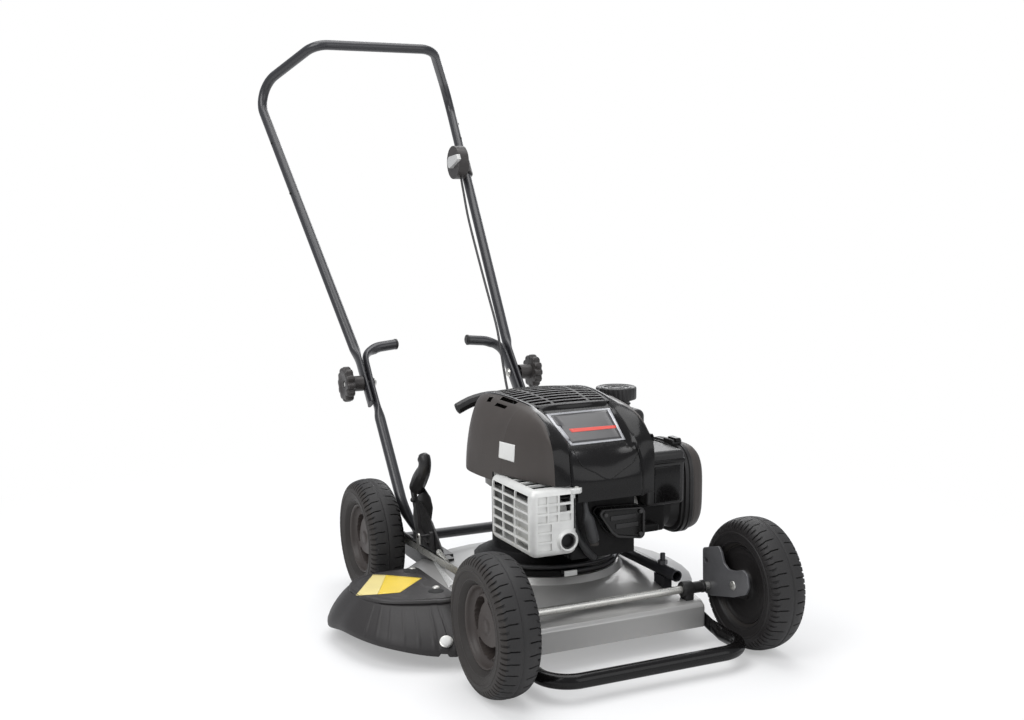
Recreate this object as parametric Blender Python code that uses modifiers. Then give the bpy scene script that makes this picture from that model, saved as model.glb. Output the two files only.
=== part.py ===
"""Walk-behind rotary lawn mower with side discharge, in metres, +Z up.

The front of the mower faces -Y and the handle is at +Y. The discharge chute is on -X,
which is the user's right-hand side. Every place below is measured from the point on the
ground midway between the wheels. At the end the whole mower is moved so that the world's
origin lies under the middle of its bounding box.
"""

import math

import bmesh
import bpy
from mathutils import Matrix, Vector

# Fits between pieces
GAP = 0.0003
LOOSE = 0.0006

# Wheels
WHEEL_RADIUS = 0.100
WHEEL_WIDTH = 0.060
WHEEL_X = 0.2115
FRONT_WHEEL_Y = -0.260
REAR_WHEEL_Y = 0.260
CROWN_WIDTH = 0.036
SHOULDER_DROP = 0.0186
RIM_RADIUS = 0.0585
RIM_WIDTH = 0.039
RIM_WALL = 0.007
WEB_THICKNESS = 0.005
WEB_OUTER = 0.0105
WINDOW_INNER = 0.028
WINDOW_OUTER = 0.043
WINDOW_HALF_ANGLE = 0.62
HUB_RADIUS = 0.018
STUB_RADIUS = 0.0080
STUB_DEPTH = 0.0365
WHEEL_SIDES = 24

# Wheel cranks, which raise and lower the deck
CRANK_X = 0.1745
CRANK_THICKNESS = 0.004
FRONT_AXLE_Y = -0.195
FRONT_AXLE_Z = 0.084
FRONT_ROD_RADIUS = 0.006
REAR_AXLE_Y = 0.325
REAR_AXLE_Z = 0.0725
REAR_TUBE_RADIUS = 0.0095
REAR_TUBE_WALL = 0.002
PIN_ARM_Y = 0.006
PIN_ARM_Z = 0.028
PIN_RADIUS = 0.0025

# Deck
DECK_CENTRE_Y = 0.018
DECK_RADIUS = 0.2365
DECK_WALL = 0.002
DECK_BOTTOM = 0.030
DECK_EDGE_TOP = 0.064
SHOULDER_RADIUS = 0.228
SHOULDER_TOP = 0.069
CONE_RADIUS = 0.150
CONE_TOP = 0.086
STEP_RADIUS = 0.125
STEP_TOP = 0.088
PLATFORM_RADIUS = 0.118
PLATFORM_TOP = 0.098
DECK_HOLE_RADIUS = 0.030
FRONT_HALF_WIDTH = 0.168
FRONT_EDGE_Y = -0.222
FRONT_EDGE_ROUND = 0.006
FRONT_TOP_RISE = 0.0065
DISCHARGE_FRONT_Y = -0.110
DISCHARGE_REAR_Y = 0.130
DISCHARGE_TOP = 0.060
DECK_SIDES = 36

# Front bumper
BUMPER_RADIUS = 0.0095
BUMPER_Y = -0.330
BUMPER_Z = 0.028
BUMPER_ARM_X = 0.161
BUMPER_CORNER = 0.045
BUMPER_STRIP_X = 0.1712
BUMPER_STRIP_THICKNESS = 0.005
BUMPER_STRIP_START_Y = -0.240
BUMPER_LEAN_START_Y = -0.260
BUMPER_LEAN_RUN = 0.030
BUMPER_PRESS_START_Y = -0.258
BUMPER_PRESS_RUN = 0.024
BUMPER_END_Y = -0.170
BUMPER_END_Z = 0.050

# Discharge chute
CHUTE_WALL = 0.003
CHUTE_BOTTOM = 0.022
CHUTE_TOP = 0.083
CHUTE_OUTLINE = (
    (-0.190, 0.140), (-0.250, 0.140), (-0.286, 0.136), (-0.316, 0.122), (-0.336, 0.098),
    (-0.347, 0.062), (-0.342, -0.018), (-0.329, -0.062), (-0.310, -0.094), (-0.275, -0.123),
    (-0.225, -0.150), (-0.190, -0.150),
)
CHUTE_ANCHOR = (-0.190, 0.0)
CHUTE_LEVELS = ((0.0, 1.0), (0.38, 0.95), (0.75, 0.84), (0.93, 0.745), (1.0, 0.70))
CHUTE_BOLTS = (("front", -0.203, -0.019), ("rear", -0.200, 0.093))
CHUTE_BOLT_RADIUS = 0.003
CHUTE_BOLT_HEAD = 0.008

# Brackets, bushes and the rail on the deck, whose feet start inside it and are cut to its top
DECK_SINK = 0.060
BRACKET_THICKNESS = 0.003
BRACKET_FOOT_X = 0.112
BUSH_INNER_X = 0.125
BUSH_OUTER_X = 0.165
BUSH_WALL = 0.0045
RAIL_X = 0.128
RAIL_Z = 0.100
RAIL_RADIUS = 0.009
RAIL_WALL = 0.002
RAIL_FRONT_Y = -0.178
RAIL_REAR_Y = 0.120
RAIL_STUD_Y = -0.136
RAIL_FOOT_HALF = 0.007
RAIL_FEET = (("front", -0.152, -0.122), ("rear", 0.088, 0.114))

# Height adjuster
LEVER_X = -0.149
LEVER_THICKNESS = 0.006
LEVER_WIDTH = 0.014
LEVER_PIVOT_Y = 0.135
LEVER_PIVOT_Z = 0.0955
LEVER_PATH = ((0.165, 0.103), (0.196, 0.118), (0.203, 0.151), (0.2185, 0.183))
LEVER_PIVOT_RADIUS = 0.004
GRIP_WIDTH = 0.018
GRIP_DEPTH = 0.021
GRIP_END_Y = 0.185
GRIP_END_Z = 0.250
QUADRANT_X = -0.1425
QUADRANT_THICKNESS = 0.003
LINK_X = -0.1705
LINK_THICKNESS = 0.003
LINK_WIDTH = 0.012

# Engine
SHAFT_RADIUS = 0.0125
BLOCK_RADIUS = 0.085
SUMP_TOP = 0.135
BLOCK_TOP = 0.215
SUMP_FLANGE_RADIUS = 0.115
CYLINDER_LEFT_X = 0.060
CYLINDER_RIGHT_X = -0.045
CYLINDER_FRONT_Y = -0.165
FIN_PITCH = 0.0105
FIN_THICKNESS = 0.0042
FIN_COUNT = 7
VALVE_COVER_DEPTH = 0.0245
FLYWHEEL_RADIUS = 0.095
FLYWHEEL_BOTTOM = 0.225
FLYWHEEL_TOP = 0.262
VANE_TOP = 0.285
VANE_COUNT = 10
MUFFLER_WALL = 0.002
GUARD_WALL = 0.0035
GUARD_SLOT_ROWS = 5
GUARD_SLOT_SHARE = 0.56
GUARD_LOW = (-0.125, -0.197, 0.163)
GUARD_HIGH = (-0.050, -0.050, 0.262)
OUTLET_X = -0.070
OUTLET_Z = 0.188
OUTLET_RADIUS = 0.013
OUTLET_WALL = 0.006
COWL_WALL = 0.003
COWL_BOTTOM = 0.250
COWL_REAR_RADIUS = 0.125
COWL_FRONT_Y = -0.192
COWL_FRONT_HALF = 0.080
COWL_POINTS = 24
GRILLE_ROWS = 6
GRILLE_PITCH = 0.0175
GRILLE_START = 0.058
GRILLE_RADIUS = 0.080
COWL_POST_ANGLES = (205, 100, 36)
COWL_POST_CENTRE = 0.1212
COWL_POST_RADIUS = 0.004
COWL_POST_BASE = 0.205
FILTER_Y = -0.056
FILTER_Z = 0.217
FILTER_BASE_X = 0.098
FILTER_RIM_X = 0.190
FILTER_RADIUS = 0.0755
FILTER_COVER_DEPTH = 0.025
TANK_LOW = (0.070, 0.020, 0.220)
TANK_HIGH = (0.190, 0.130, 0.315)
CAP_X = 0.147
CAP_Y = 0.048
CAP_BOTTOM = 0.340
CAP_TOP = 0.357
CAP_RADIUS = 0.030
NECK_RADIUS = 0.019
GRIP_BAR_RADIUS = 0.010
STARTER_Y = 0.155
STARTER_X = -0.030
ROPE_RADIUS = 0.0022

# Cutting gear
CARRIER_BOTTOM = 0.044
CARRIER_THICKNESS = 0.004
CARRIER_OVERHANG = 0.010
CARRIER_WIDTH = 0.060
BLADE_TIP_CLEARANCE = 0.008
BLADE_REACH = 0.0635
BLADE_TAIL = 0.017
BLADE_TIP_RADIUS = DECK_RADIUS - BLADE_TIP_CLEARANCE
BLADE_PIVOT_RADIUS = BLADE_TIP_RADIUS - BLADE_REACH
CARRIER_LENGTH = 2 * (BLADE_PIVOT_RADIUS + CARRIER_OVERHANG)
BLADE_WIDTH = 0.044
BLADE_BOTTOM = 0.0395
BLADE_THICKNESS = 0.003
BLADE_PIN_RADIUS = 0.006

# Handles
TUBE_RADIUS = 0.0095
FLAT_THICKNESS = 0.010
FOLD_Y = 0.4517
FOLD_Z = 0.3365
FOLD_FLAT = 0.048
FOLD_EASE = 0.028
LOWER_FOLD_X = 0.141
UPPER_FOLD_X = 0.1516
FOOT_X = 0.1305
FOOT_THICKNESS = 0.004
LOWER_TOE = (0.275, 0.052)
LOWER_HEEL = (0.262, 0.090)
LOWER_KNEE = (0.145, 0.288, 0.146)
HANDLE_BEND = (0.2105, 0.9264, 0.8846)
HANDLE_TOP = (0.1242, 0.7817, 0.9649)
HANDLE_TAIL = 0.045
BEND_RADIUS = 0.050
TOP_RADIUS = 0.045
HOOK_CORNER = (0.136, 0.500, 0.392)
HOOK_END = (0.072, 0.503, 0.398)
HOOK_RADIUS = 0.040
PIVOT_BOLT_RADIUS = 0.004
KNOB_RADIUS = 0.032
KNOB_NECK_RADIUS = 0.014
KNOB_INNER_X = 0.1785
KNOB_OUTER_X = 0.1945
KNOB_LOBES = 12

# Throttle control on the user's left handle tube
THROTTLE_X = 0.1685
THROTTLE_Y = 0.768
THROTTLE_Z = 0.738
THROTTLE_RADIUS = 0.034
THROTTLE_THICKNESS = 0.022
THUMB_HUB = 0.012
THUMB_REACH = 0.046
THUMB_THICKNESS = 0.008
CABLE_RADIUS = 0.0025

SIDES = (("left", 1.0), ("right", -1.0))

# Joint axes: body, its parent body, and the place of its axis
BODY_AXES = {
    "front_axle": ("root", (0.0, FRONT_AXLE_Y, FRONT_AXLE_Z)),
    "rear_axle": ("root", (0.0, REAR_AXLE_Y, REAR_AXLE_Z)),
    "wheel_front_left": ("front_axle", (WHEEL_X, FRONT_WHEEL_Y, WHEEL_RADIUS)),
    "wheel_front_right": ("front_axle", (-WHEEL_X, FRONT_WHEEL_Y, WHEEL_RADIUS)),
    "wheel_rear_left": ("rear_axle", (WHEEL_X, REAR_WHEEL_Y, WHEEL_RADIUS)),
    "wheel_rear_right": ("rear_axle", (-WHEEL_X, REAR_WHEEL_Y, WHEEL_RADIUS)),
    "height_lever": ("root", (LEVER_X, LEVER_PIVOT_Y, LEVER_PIVOT_Z)),
    "height_link": ("height_lever", (LINK_X, LEVER_PIVOT_Y + PIN_ARM_Y, LEVER_PIVOT_Z + PIN_ARM_Z)),
    "blade_drive": ("root", (0.0, DECK_CENTRE_Y, CARRIER_BOTTOM)),
    "blade_left": ("blade_drive", (BLADE_PIVOT_RADIUS, DECK_CENTRE_Y, BLADE_BOTTOM)),
    "blade_right": ("blade_drive", (-BLADE_PIVOT_RADIUS, DECK_CENTRE_Y, BLADE_BOTTOM)),
    "upper_handle": ("root", (0.0, FOLD_Y, FOLD_Z)),
    "knob_left": ("root", (KNOB_INNER_X, FOLD_Y, FOLD_Z)),
    "knob_right": ("root", (-KNOB_INNER_X, FOLD_Y, FOLD_Z)),
    "throttle_lever": ("upper_handle", (THROTTLE_X, THROTTLE_Y, THROTTLE_Z)),
    "starter_handle": ("root", (STARTER_X, STARTER_Y, CAP_BOTTOM)),
    "air_cover": ("root", (FILTER_RIM_X, FILTER_Y, FILTER_Z - FILTER_RADIUS)),
    "fuel_cap": ("root", (CAP_X, CAP_Y, CAP_BOTTOM)),
}

for old in list(bpy.data.objects):
    bpy.data.objects.remove(old)

parts = bpy.data.collections.new("lawn_mower")
cutters = bpy.data.collections.new("cutters")
bpy.context.scene.collection.children.link(parts)
bpy.context.scene.collection.children.link(cutters)
axes = {}


# Materials

def material(name, colour, roughness, metallic=0.0):
    """Return a Principled material with the part's colour."""
    made = bpy.data.materials.new(name)
    made.use_nodes = True
    shader = made.node_tree.nodes["Principled BSDF"]
    shader.inputs["Base Color"].default_value = (*colour, 1.0)
    shader.inputs["Roughness"].default_value = roughness
    shader.inputs["Metallic"].default_value = metallic
    made.diffuse_color = (*colour, 1.0)
    return made


PAINT_GREY = material("grey_painted_steel", (0.23, 0.24, 0.25), 0.45, 0.5)
PAINT_BLACK = material("black_powder_coat", (0.012, 0.012, 0.014), 0.4)
ZINC = material("zinc_plated_steel", (0.62, 0.62, 0.60), 0.35, 1.0)
DARK_STEEL = material("dark_steel", (0.05, 0.05, 0.055), 0.5, 0.8)
BLADE_STEEL = material("blade_steel", (0.30, 0.30, 0.31), 0.4, 1.0)
CAST_ALLOY = material("cast_aluminium", (0.60, 0.60, 0.59), 0.5, 0.9)
BLACK_ALLOY = material("black_cast_aluminium", (0.02, 0.02, 0.022), 0.5, 0.4)
GLOSS_PLASTIC = material("gloss_black_plastic", (0.012, 0.012, 0.013), 0.22)
MATT_PLASTIC = material("matt_black_plastic", (0.018, 0.018, 0.019), 0.6)
RUBBER = material("black_rubber", (0.016, 0.016, 0.016), 0.85)
FOAM = material("filter_paper", (0.62, 0.52, 0.30), 0.95)
CERAMIC = material("white_ceramic", (0.82, 0.81, 0.78), 0.3)
CORD = material("starter_cord", (0.08, 0.08, 0.08), 0.9)


# Placing pieces

def make_axis(body):
    """Return the empty that stands on a body's joint axis, made when it is first asked for."""
    if body not in axes:
        empty = bpy.data.objects.new("axis_" + body, None)
        empty.empty_display_size = 0.03
        bpy.context.scene.collection.objects.link(empty)
        if body != "root":
            parent, place = BODY_AXES[body]
            empty.parent = make_axis(parent)
            empty.location = Vector(place) - axis_place(parent)
        axes[body] = empty
    return axes[body]


def axis_place(body):
    """Return where a body's joint axis is, measured as all the pieces are."""
    return Vector(BODY_AXES[body][1]) if body != "root" else Vector((0.0, 0.0, 0.0))


def place(name, data, skin, at=(0.0, 0.0, 0.0), turn=(0.0, 0.0, 0.0), body="root"):
    """Make an object from its data and hang it on its body."""
    piece = bpy.data.objects.new(name, data)
    parts.objects.link(piece)
    piece.parent = make_axis(body)
    piece.location = Vector(at) - axis_place(body)
    piece.rotation_euler = turn
    piece["body"] = body
    if skin and not data.materials:
        data.materials.append(skin)
    return piece


def shade(mesh, angle=35.0):
    """Shade a round mesh smooth and keep its hard edges."""
    mesh.shade_smooth()
    mesh.set_sharp_from_angle(angle=math.radians(angle))


def mesh_from(name, bm):
    """Turn a bmesh into mesh data."""
    bmesh.ops.recalc_face_normals(bm, faces=bm.faces)
    mesh = bpy.data.meshes.new(name)
    bm.to_mesh(mesh)
    bm.free()
    shade(mesh)
    return mesh


def box(name, low, high, skin=None, body="root", round_edge=0.0, turn=(0.0, 0.0, 0.0)):
    """A block between two corners, with rounded edges where asked."""
    low = Vector(low)
    high = Vector(high)
    bm = bmesh.new()
    bmesh.ops.create_cube(bm, size=1.0)
    bmesh.ops.scale(bm, vec=high - low, verts=bm.verts)
    piece = place(name, mesh_from(name, bm), skin, (low + high) / 2, turn, body)
    if round_edge:
        bevel = piece.modifiers.new("rounded edges", "BEVEL")
        bevel.width = round_edge
        bevel.segments = 2 if skin else 1
    return piece


def rod(name, start, end, radius, skin=None, body="root", sides=16, end_radius=None):
    """A round bar from start to end, tapered where end_radius is given."""
    start = Vector(start)
    end = Vector(end)
    run = end - start
    bm = bmesh.new()
    bmesh.ops.create_cone(
        bm, cap_ends=True, segments=sides, radius1=radius,
        radius2=radius if end_radius is None else end_radius, depth=run.length)
    turn = run.to_track_quat("Z", "Y").to_euler()
    return place(name, mesh_from(name, bm), skin, (start + end) / 2, turn, body)


AXIS_TURNS = {
    "+Z": (0.0, 0.0, 0.0),
    "+X": (0.0, math.pi / 2, 0.0),
    "-X": (0.0, -math.pi / 2, 0.0),
    "-Y": (math.pi / 2, 0.0, 0.0),
}


def turned(name, profile, skin=None, at=(0.0, 0.0, 0.0), axis="+Z", body="root",
           sides=24, ring=False, phase=0.0):
    """A turned shape from (radius, height) points, which run down its outer side."""
    bm = bmesh.new()
    points = [bm.verts.new((r * math.cos(phase), r * math.sin(phase), h)) for r, h in profile]
    for first, second in zip(points, points[1:]):
        bm.edges.new((first, second))
    if ring:
        bm.edges.new((points[-1], points[0]))
    mesh = bpy.data.meshes.new(name)
    bm.to_mesh(mesh)
    bm.free()
    piece = place(name, mesh, skin, at, AXIS_TURNS[axis], body)
    screw = piece.modifiers.new("turned", "SCREW")
    screw.steps = sides
    screw.render_steps = sides
    screw.use_merge_vertices = True
    screw.merge_threshold = 0.00001
    return piece


PLANE_TURNS = {
    "XY": (0.0, 0.0, 0.0),
    "YZ": (math.pi / 2, 0.0, math.pi / 2),
}


def cut_out(name, loops, thickness, level, plane, skin=None, body="root"):
    """A flat plate: loops of points in its plane, the first the outline, the rest holes."""
    curve = bpy.data.curves.new(name, "CURVE")
    curve.dimensions = "2D"
    curve.fill_mode = "BOTH"
    curve.extrude = thickness / 2
    base = axis_place(body)
    shift = (base.x, base.y) if plane == "XY" else (base.y, base.z)
    for loop in loops:
        spline = curve.splines.new("POLY")
        spline.points.add(len(loop) - 1)
        spline.use_cyclic_u = True
        for point, (u, v) in zip(spline.points, loop):
            point.co = (u - shift[0], v - shift[1], 0.0, 1.0)
    at = (base.x, base.y, level) if plane == "XY" else (level, base.y, base.z)
    return place(name, curve, skin, at, PLANE_TURNS[plane], body)


def tube(name, points, radius, skin=None, body="root", resolution=2):
    """A round tube or wire along points."""
    curve = bpy.data.curves.new(name, "CURVE")
    curve.dimensions = "3D"
    curve.bevel_depth = radius
    curve.bevel_resolution = resolution
    curve.use_fill_caps = True
    spline = curve.splines.new("POLY")
    spline.points.add(len(points) - 1)
    base = axis_place(body)
    for point, target in zip(spline.points, points):
        point.co = (*(Vector(target) - base), 1.0)
    return place(name, curve, skin, base, (0.0, 0.0, 0.0), body)


def as_mesh(piece):
    """Turn a curve object into a mesh object at the same place and under the same name."""
    bpy.context.view_layer.update()
    graph = bpy.context.evaluated_depsgraph_get()
    mesh = bpy.data.meshes.new_from_object(piece.evaluated_get(graph))
    bm = bmesh.new()
    bm.from_mesh(mesh)
    bmesh.ops.remove_doubles(bm, verts=bm.verts, dist=0.00001)
    bmesh.ops.recalc_face_normals(bm, faces=bm.faces)
    bm.to_mesh(mesh)
    bm.free()
    shade(mesh)
    name = piece.name
    matrix = piece.matrix_world.copy()
    body = piece["body"]
    bpy.data.objects.remove(piece)
    made = bpy.data.objects.new(name, mesh)
    parts.objects.link(made)
    made.parent = make_axis(body)
    bpy.context.view_layer.update()
    made.matrix_world = matrix
    made["body"] = body
    return made


def loft(name, rings, skin=None, body="root", wall=0.0, open_ends=False):
    """A skin over rings of points, closed at both ends or thickened inwards as a shell."""
    bm = bmesh.new()
    base = axis_place(body)
    rows = [[bm.verts.new(Vector(p) - base) for p in ring] for ring in rings]
    for low, high in zip(rows, rows[1:]):
        for i in range(len(low)):
            j = (i + 1) % len(low)
            bm.faces.new((low[i], low[j], high[j], high[i]))
    if not open_ends:
        bm.faces.new(list(reversed(rows[0])))
    bm.faces.new(rows[-1])
    piece = place(name, mesh_from(name, bm), skin, base, (0.0, 0.0, 0.0), body)
    if wall:
        solid = piece.modifiers.new("wall", "SOLIDIFY")
        solid.thickness = wall
        solid.offset = -1.0
    return piece


def hide_tool(tool):
    """Move a tool to the cutters."""
    tool.hide_render = True
    tool.display_type = "WIRE"
    if tool.name in parts.objects:
        parts.objects.unlink(tool)
        cutters.objects.link(tool)


def boolean(piece, tools, operation, solver="EXACT"):
    """Join tools to a piece, or cut them from it."""
    for tool in tools:
        change = piece.modifiers.new(operation.lower() + " " + tool.name, "BOOLEAN")
        change.operation = operation
        change.solver = solver
        change.object = tool
        hide_tool(tool)


def unite(piece, *tools):
    """Join tools to a piece."""
    boolean(piece, tools, "UNION")


def cut(piece, *tools):
    """Cut tools from a piece."""
    boolean(piece, tools, "DIFFERENCE")


# Outlines and routes

def circle(centre, radius, sides=16):
    """Points of a circle."""
    steps = [2 * math.pi * i / sides for i in range(sides)]
    return [(centre[0] + radius * math.cos(a), centre[1] + radius * math.sin(a)) for a in steps]


def fillet(points, radii, steps=4, closed=False):
    """Points along straight runs whose corners are rounded with their radii."""
    made = []
    count = len(points)
    for i, point in enumerate(points):
        corner = Vector(point)
        radius = radii[i]
        if radius == 0.0 or (not closed and i in (0, count - 1)):
            made.append(corner)
            continue
        back = (Vector(points[i - 1]) - corner).normalized()
        ahead = (Vector(points[(i + 1) % count]) - corner).normalized()
        half = back.angle(ahead) / 2
        reach = radius / math.tan(half)
        middle = corner + (back + ahead).normalized() * (radius / math.sin(half))
        first = corner + back * reach - middle
        last = corner + ahead * reach - middle
        made += [middle + slerp(first, last, k / steps) for k in range(steps + 1)]
    return made


def slerp(first, last, share):
    """A point on the arc between two arms of equal length."""
    angle = first.angle(last)
    low = math.sin((1 - share) * angle) / math.sin(angle)
    high = math.sin(share * angle) / math.sin(angle)
    return first * low + last * high


def rounded(points, radius, steps=2):
    """A closed flat outline with rounded corners."""
    return [tuple(p) for p in fillet(points, [radius] * len(points), steps, closed=True)]


def strip(points, width, end_steps=5):
    """The outline of a flat strip with round ends along points."""
    path = [Vector(p) for p in points]
    half = width / 2
    outline = []
    for step in (1, -1):
        run = path if step == 1 else path[::-1]
        for i, point in enumerate(run[:-1]):
            ahead = (run[i + 1] - point).normalized()
            back = (point - run[i - 1]).normalized() if i else ahead
            mean = (ahead + back).normalized()
            normal = Vector((mean.y, -mean.x))
            outline.append(tuple(point + normal * half / max(0.5, mean.dot(ahead))))
        last = (run[-1] - run[-2]).normalized()
        start = math.atan2(-last.x, last.y)
        for k in range(end_steps + 1):
            angle = start + math.pi * k / end_steps
            outline.append(tuple(run[-1] + Vector((math.cos(angle), math.sin(angle))) * half))
    return tidy_loop(outline)


def tidy_loop(outline, least=0.0002):
    """Drop points that fall on the one before."""
    kept = []
    for point in outline:
        if not kept or math.dist(point, kept[-1]) > least:
            kept.append(point)
    if math.dist(kept[0], kept[-1]) <= least:
        kept.pop()
    return kept


def smooth_route(points, spacing):
    """A smooth curve through points, with points on it at a steady spacing."""
    path = [Vector(p) for p in points]
    dense = []
    for i in range(len(path) - 1):
        before = path[max(i - 1, 0)]
        start = path[i]
        end = path[i + 1]
        after = path[min(i + 2, len(path) - 1)]
        for k in range(12):
            t = k / 12
            dense.append(0.5 * (
                2 * start + (end - before) * t
                + (2 * before - 5 * start + 4 * end - after) * t * t
                + (3 * start - before - 3 * end + after) * t * t * t))
    dense.append(path[-1])
    length = sum((b - a).length for a, b in zip(dense, dense[1:]))
    count = max(2, round(length / spacing))
    return resample(dense, length, count)


def resample(dense, length, count):
    """Points at equal distances along a dense line."""
    made = [dense[0]]
    walked = 0.0
    for a, b in zip(dense, dense[1:]):
        step = (b - a).length
        while len(made) < count and walked + step >= length * len(made) / count:
            share = (length * len(made) / count - walked) / step
            made.append(a.lerp(b, share))
        walked += step
    made.append(dense[-1])
    return made


# Deck

def deck_block(name, grow, bottom, skin=None):
    """The deck's outer form as a solid, grown or shrunk all round."""
    profile = (
        (0.0, PLATFORM_TOP + grow),
        (PLATFORM_RADIUS + grow, PLATFORM_TOP + grow),
        (STEP_RADIUS + grow, STEP_TOP + grow),
        (CONE_RADIUS + grow, CONE_TOP + grow),
        (SHOULDER_RADIUS + grow, SHOULDER_TOP + grow),
        (DECK_RADIUS + grow, DECK_EDGE_TOP + grow),
        (DECK_RADIUS + grow, bottom),
        (0.0, bottom),
    )
    bowl = turned(name, profile, skin, (0.0, DECK_CENTRE_Y, 0.0), sides=DECK_SIDES)
    front_top = SHOULDER_TOP - 0.002 + grow
    outline = (
        (FRONT_EDGE_Y - grow, bottom),
        (FRONT_EDGE_Y - grow, front_top - FRONT_EDGE_ROUND),
        (FRONT_EDGE_Y + FRONT_EDGE_ROUND * 0.3 - grow * 0.7, front_top - FRONT_EDGE_ROUND * 0.3),
        (FRONT_EDGE_Y + FRONT_EDGE_ROUND, front_top),
        (DECK_CENTRE_Y - 0.06, front_top + FRONT_TOP_RISE),
        (DECK_CENTRE_Y - 0.06, bottom),
    )
    nose = as_mesh(cut_out(
        name + "_nose", [outline], 2 * (FRONT_HALF_WIDTH + grow), 0.0, "YZ", skin))
    unite(bowl, nose)
    return bowl


def build_deck():
    """The pressed steel deck, open below and at its discharge side."""
    deck = deck_block("deck_shell", 0.0, DECK_BOTTOM, PAINT_GREY)
    inside = deck_block("deck_inside", -DECK_WALL, 0.0)
    hole = rod("deck_hole", (0, DECK_CENTRE_Y, 0.05), (0, DECK_CENTRE_Y, 0.12), DECK_HOLE_RADIUS,
               sides=24)
    discharge = box("deck_discharge", (-DECK_RADIUS - 0.02, DISCHARGE_FRONT_Y, 0.0),
                    (-DECK_RADIUS + 0.09, DISCHARGE_REAR_Y, DISCHARGE_TOP))
    boolean(deck, [inside], "DIFFERENCE", "MANIFOLD")
    cut(deck, hole, discharge)
    return deck


def build_bumper():
    """The tubular front guard, flattened where it bolts beside the deck."""
    path = fillet(
        ((0.0, BUMPER_Y, BUMPER_Z), (BUMPER_ARM_X, BUMPER_Y, BUMPER_Z),
         (BUMPER_ARM_X, BUMPER_LEAN_START_Y, BUMPER_Z),
         (BUMPER_STRIP_X, BUMPER_STRIP_START_Y + 0.01, BUMPER_Z + 0.005),
         (BUMPER_STRIP_X, BUMPER_END_Y, BUMPER_END_Z)),
        (0.0, BUMPER_CORNER, 0.02, 0.02, 0.0), 4)
    half = as_mesh(tube("front_bumper", path, BUMPER_RADIUS, PAINT_BLACK))
    for vertex in half.data.vertices:
        if vertex.co.y <= BUMPER_LEAN_START_Y:
            continue
        lean = min(1.0, (vertex.co.y - BUMPER_LEAN_START_Y) / BUMPER_LEAN_RUN)
        middle = BUMPER_ARM_X + (BUMPER_STRIP_X - BUMPER_ARM_X) * lean
        press = min(1.0, max(0.0, (vertex.co.y - BUMPER_PRESS_START_Y) / BUMPER_PRESS_RUN))
        share = 1.0 - press * (1.0 - BUMPER_STRIP_THICKNESS / (2 * BUMPER_RADIUS))
        vertex.co.x = middle + (vertex.co.x - middle) * share
    mirror_half(half)
    return half


def mirror_half(half):
    """Open a half at the middle plane and mirror it."""
    bm = bmesh.new()
    bm.from_mesh(half.data)
    middle = [f for f in bm.faces if all(abs(v.co.x) < 0.00002 for v in f.verts)]
    bmesh.ops.delete(bm, geom=middle, context="FACES")
    bm.to_mesh(half.data)
    bm.free()
    mirror = half.modifiers.new("other side", "MIRROR")
    mirror.use_axis = (True, False, False)
    mirror.merge_threshold = 0.0001


def chute_rings(inset, bottom, top):
    """Rings of the chute's form from its bottom up."""
    rings = []
    anchor = Vector(CHUTE_ANCHOR)
    for level, scale in CHUTE_LEVELS:
        ring = []
        for x, y in CHUTE_OUTLINE:
            arm = Vector((x, y)) - anchor
            arm = arm * scale
            arm = arm * max(0.0, 1.0 - inset / arm.length)
            ring.append((anchor.x + arm.x, anchor.y + arm.y, bottom + level * (top - bottom)))
        rings.append(ring[::-1])
    return rings


def build_chute(deck_room):
    """The side discharge chute, open below and towards the deck."""
    chute = loft("side_chute", chute_rings(0.0, CHUTE_BOTTOM, CHUTE_TOP), MATT_PLASTIC)
    hollow_rings = chute_rings(CHUTE_WALL, CHUTE_BOTTOM, CHUTE_TOP - CHUTE_WALL)
    hollow_rings[0] = [(x, y, 0.0) for x, y, z in hollow_rings[0]]
    hollow = loft("chute_hollow", hollow_rings)
    cut(chute, hollow, deck_room)
    for name, x, y in CHUTE_BOLTS:
        hole = rod("chute_hole_" + name, (x, y, 0.06), (x, y, 0.10), CHUTE_BOLT_RADIUS + GAP,
                   sides=12)
        cut(chute, hole)
        seat = deck_height(x, y) + GAP + CHUTE_BOLT_RADIUS * 0.3
        head = CHUTE_TOP + GAP
        profile = (
            (0.0, head + 0.005), (CHUTE_BOLT_HEAD * 0.6, head + 0.0042), (CHUTE_BOLT_HEAD, head),
            (CHUTE_BOLT_RADIUS, head), (CHUTE_BOLT_RADIUS, seat), (0.0, seat),
        )
        turned("chute_bolt_" + name, profile, DARK_STEEL, (x, y, 0.0), sides=12)


def deck_height(x, y):
    """Height of the deck's top at a place on its bowl."""
    radius = math.hypot(x, y - DECK_CENTRE_Y)
    steps = ((PLATFORM_RADIUS, PLATFORM_TOP), (STEP_RADIUS, STEP_TOP), (CONE_RADIUS, CONE_TOP),
             (SHOULDER_RADIUS, SHOULDER_TOP), (DECK_RADIUS, DECK_EDGE_TOP))
    for (r0, z0), (r1, z1) in zip(steps, steps[1:]):
        if r0 <= radius <= r1:
            return z0 + (z1 - z0) * (radius - r0) / (r1 - r0)
    return PLATFORM_TOP if radius < PLATFORM_RADIUS else DECK_EDGE_TOP


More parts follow.
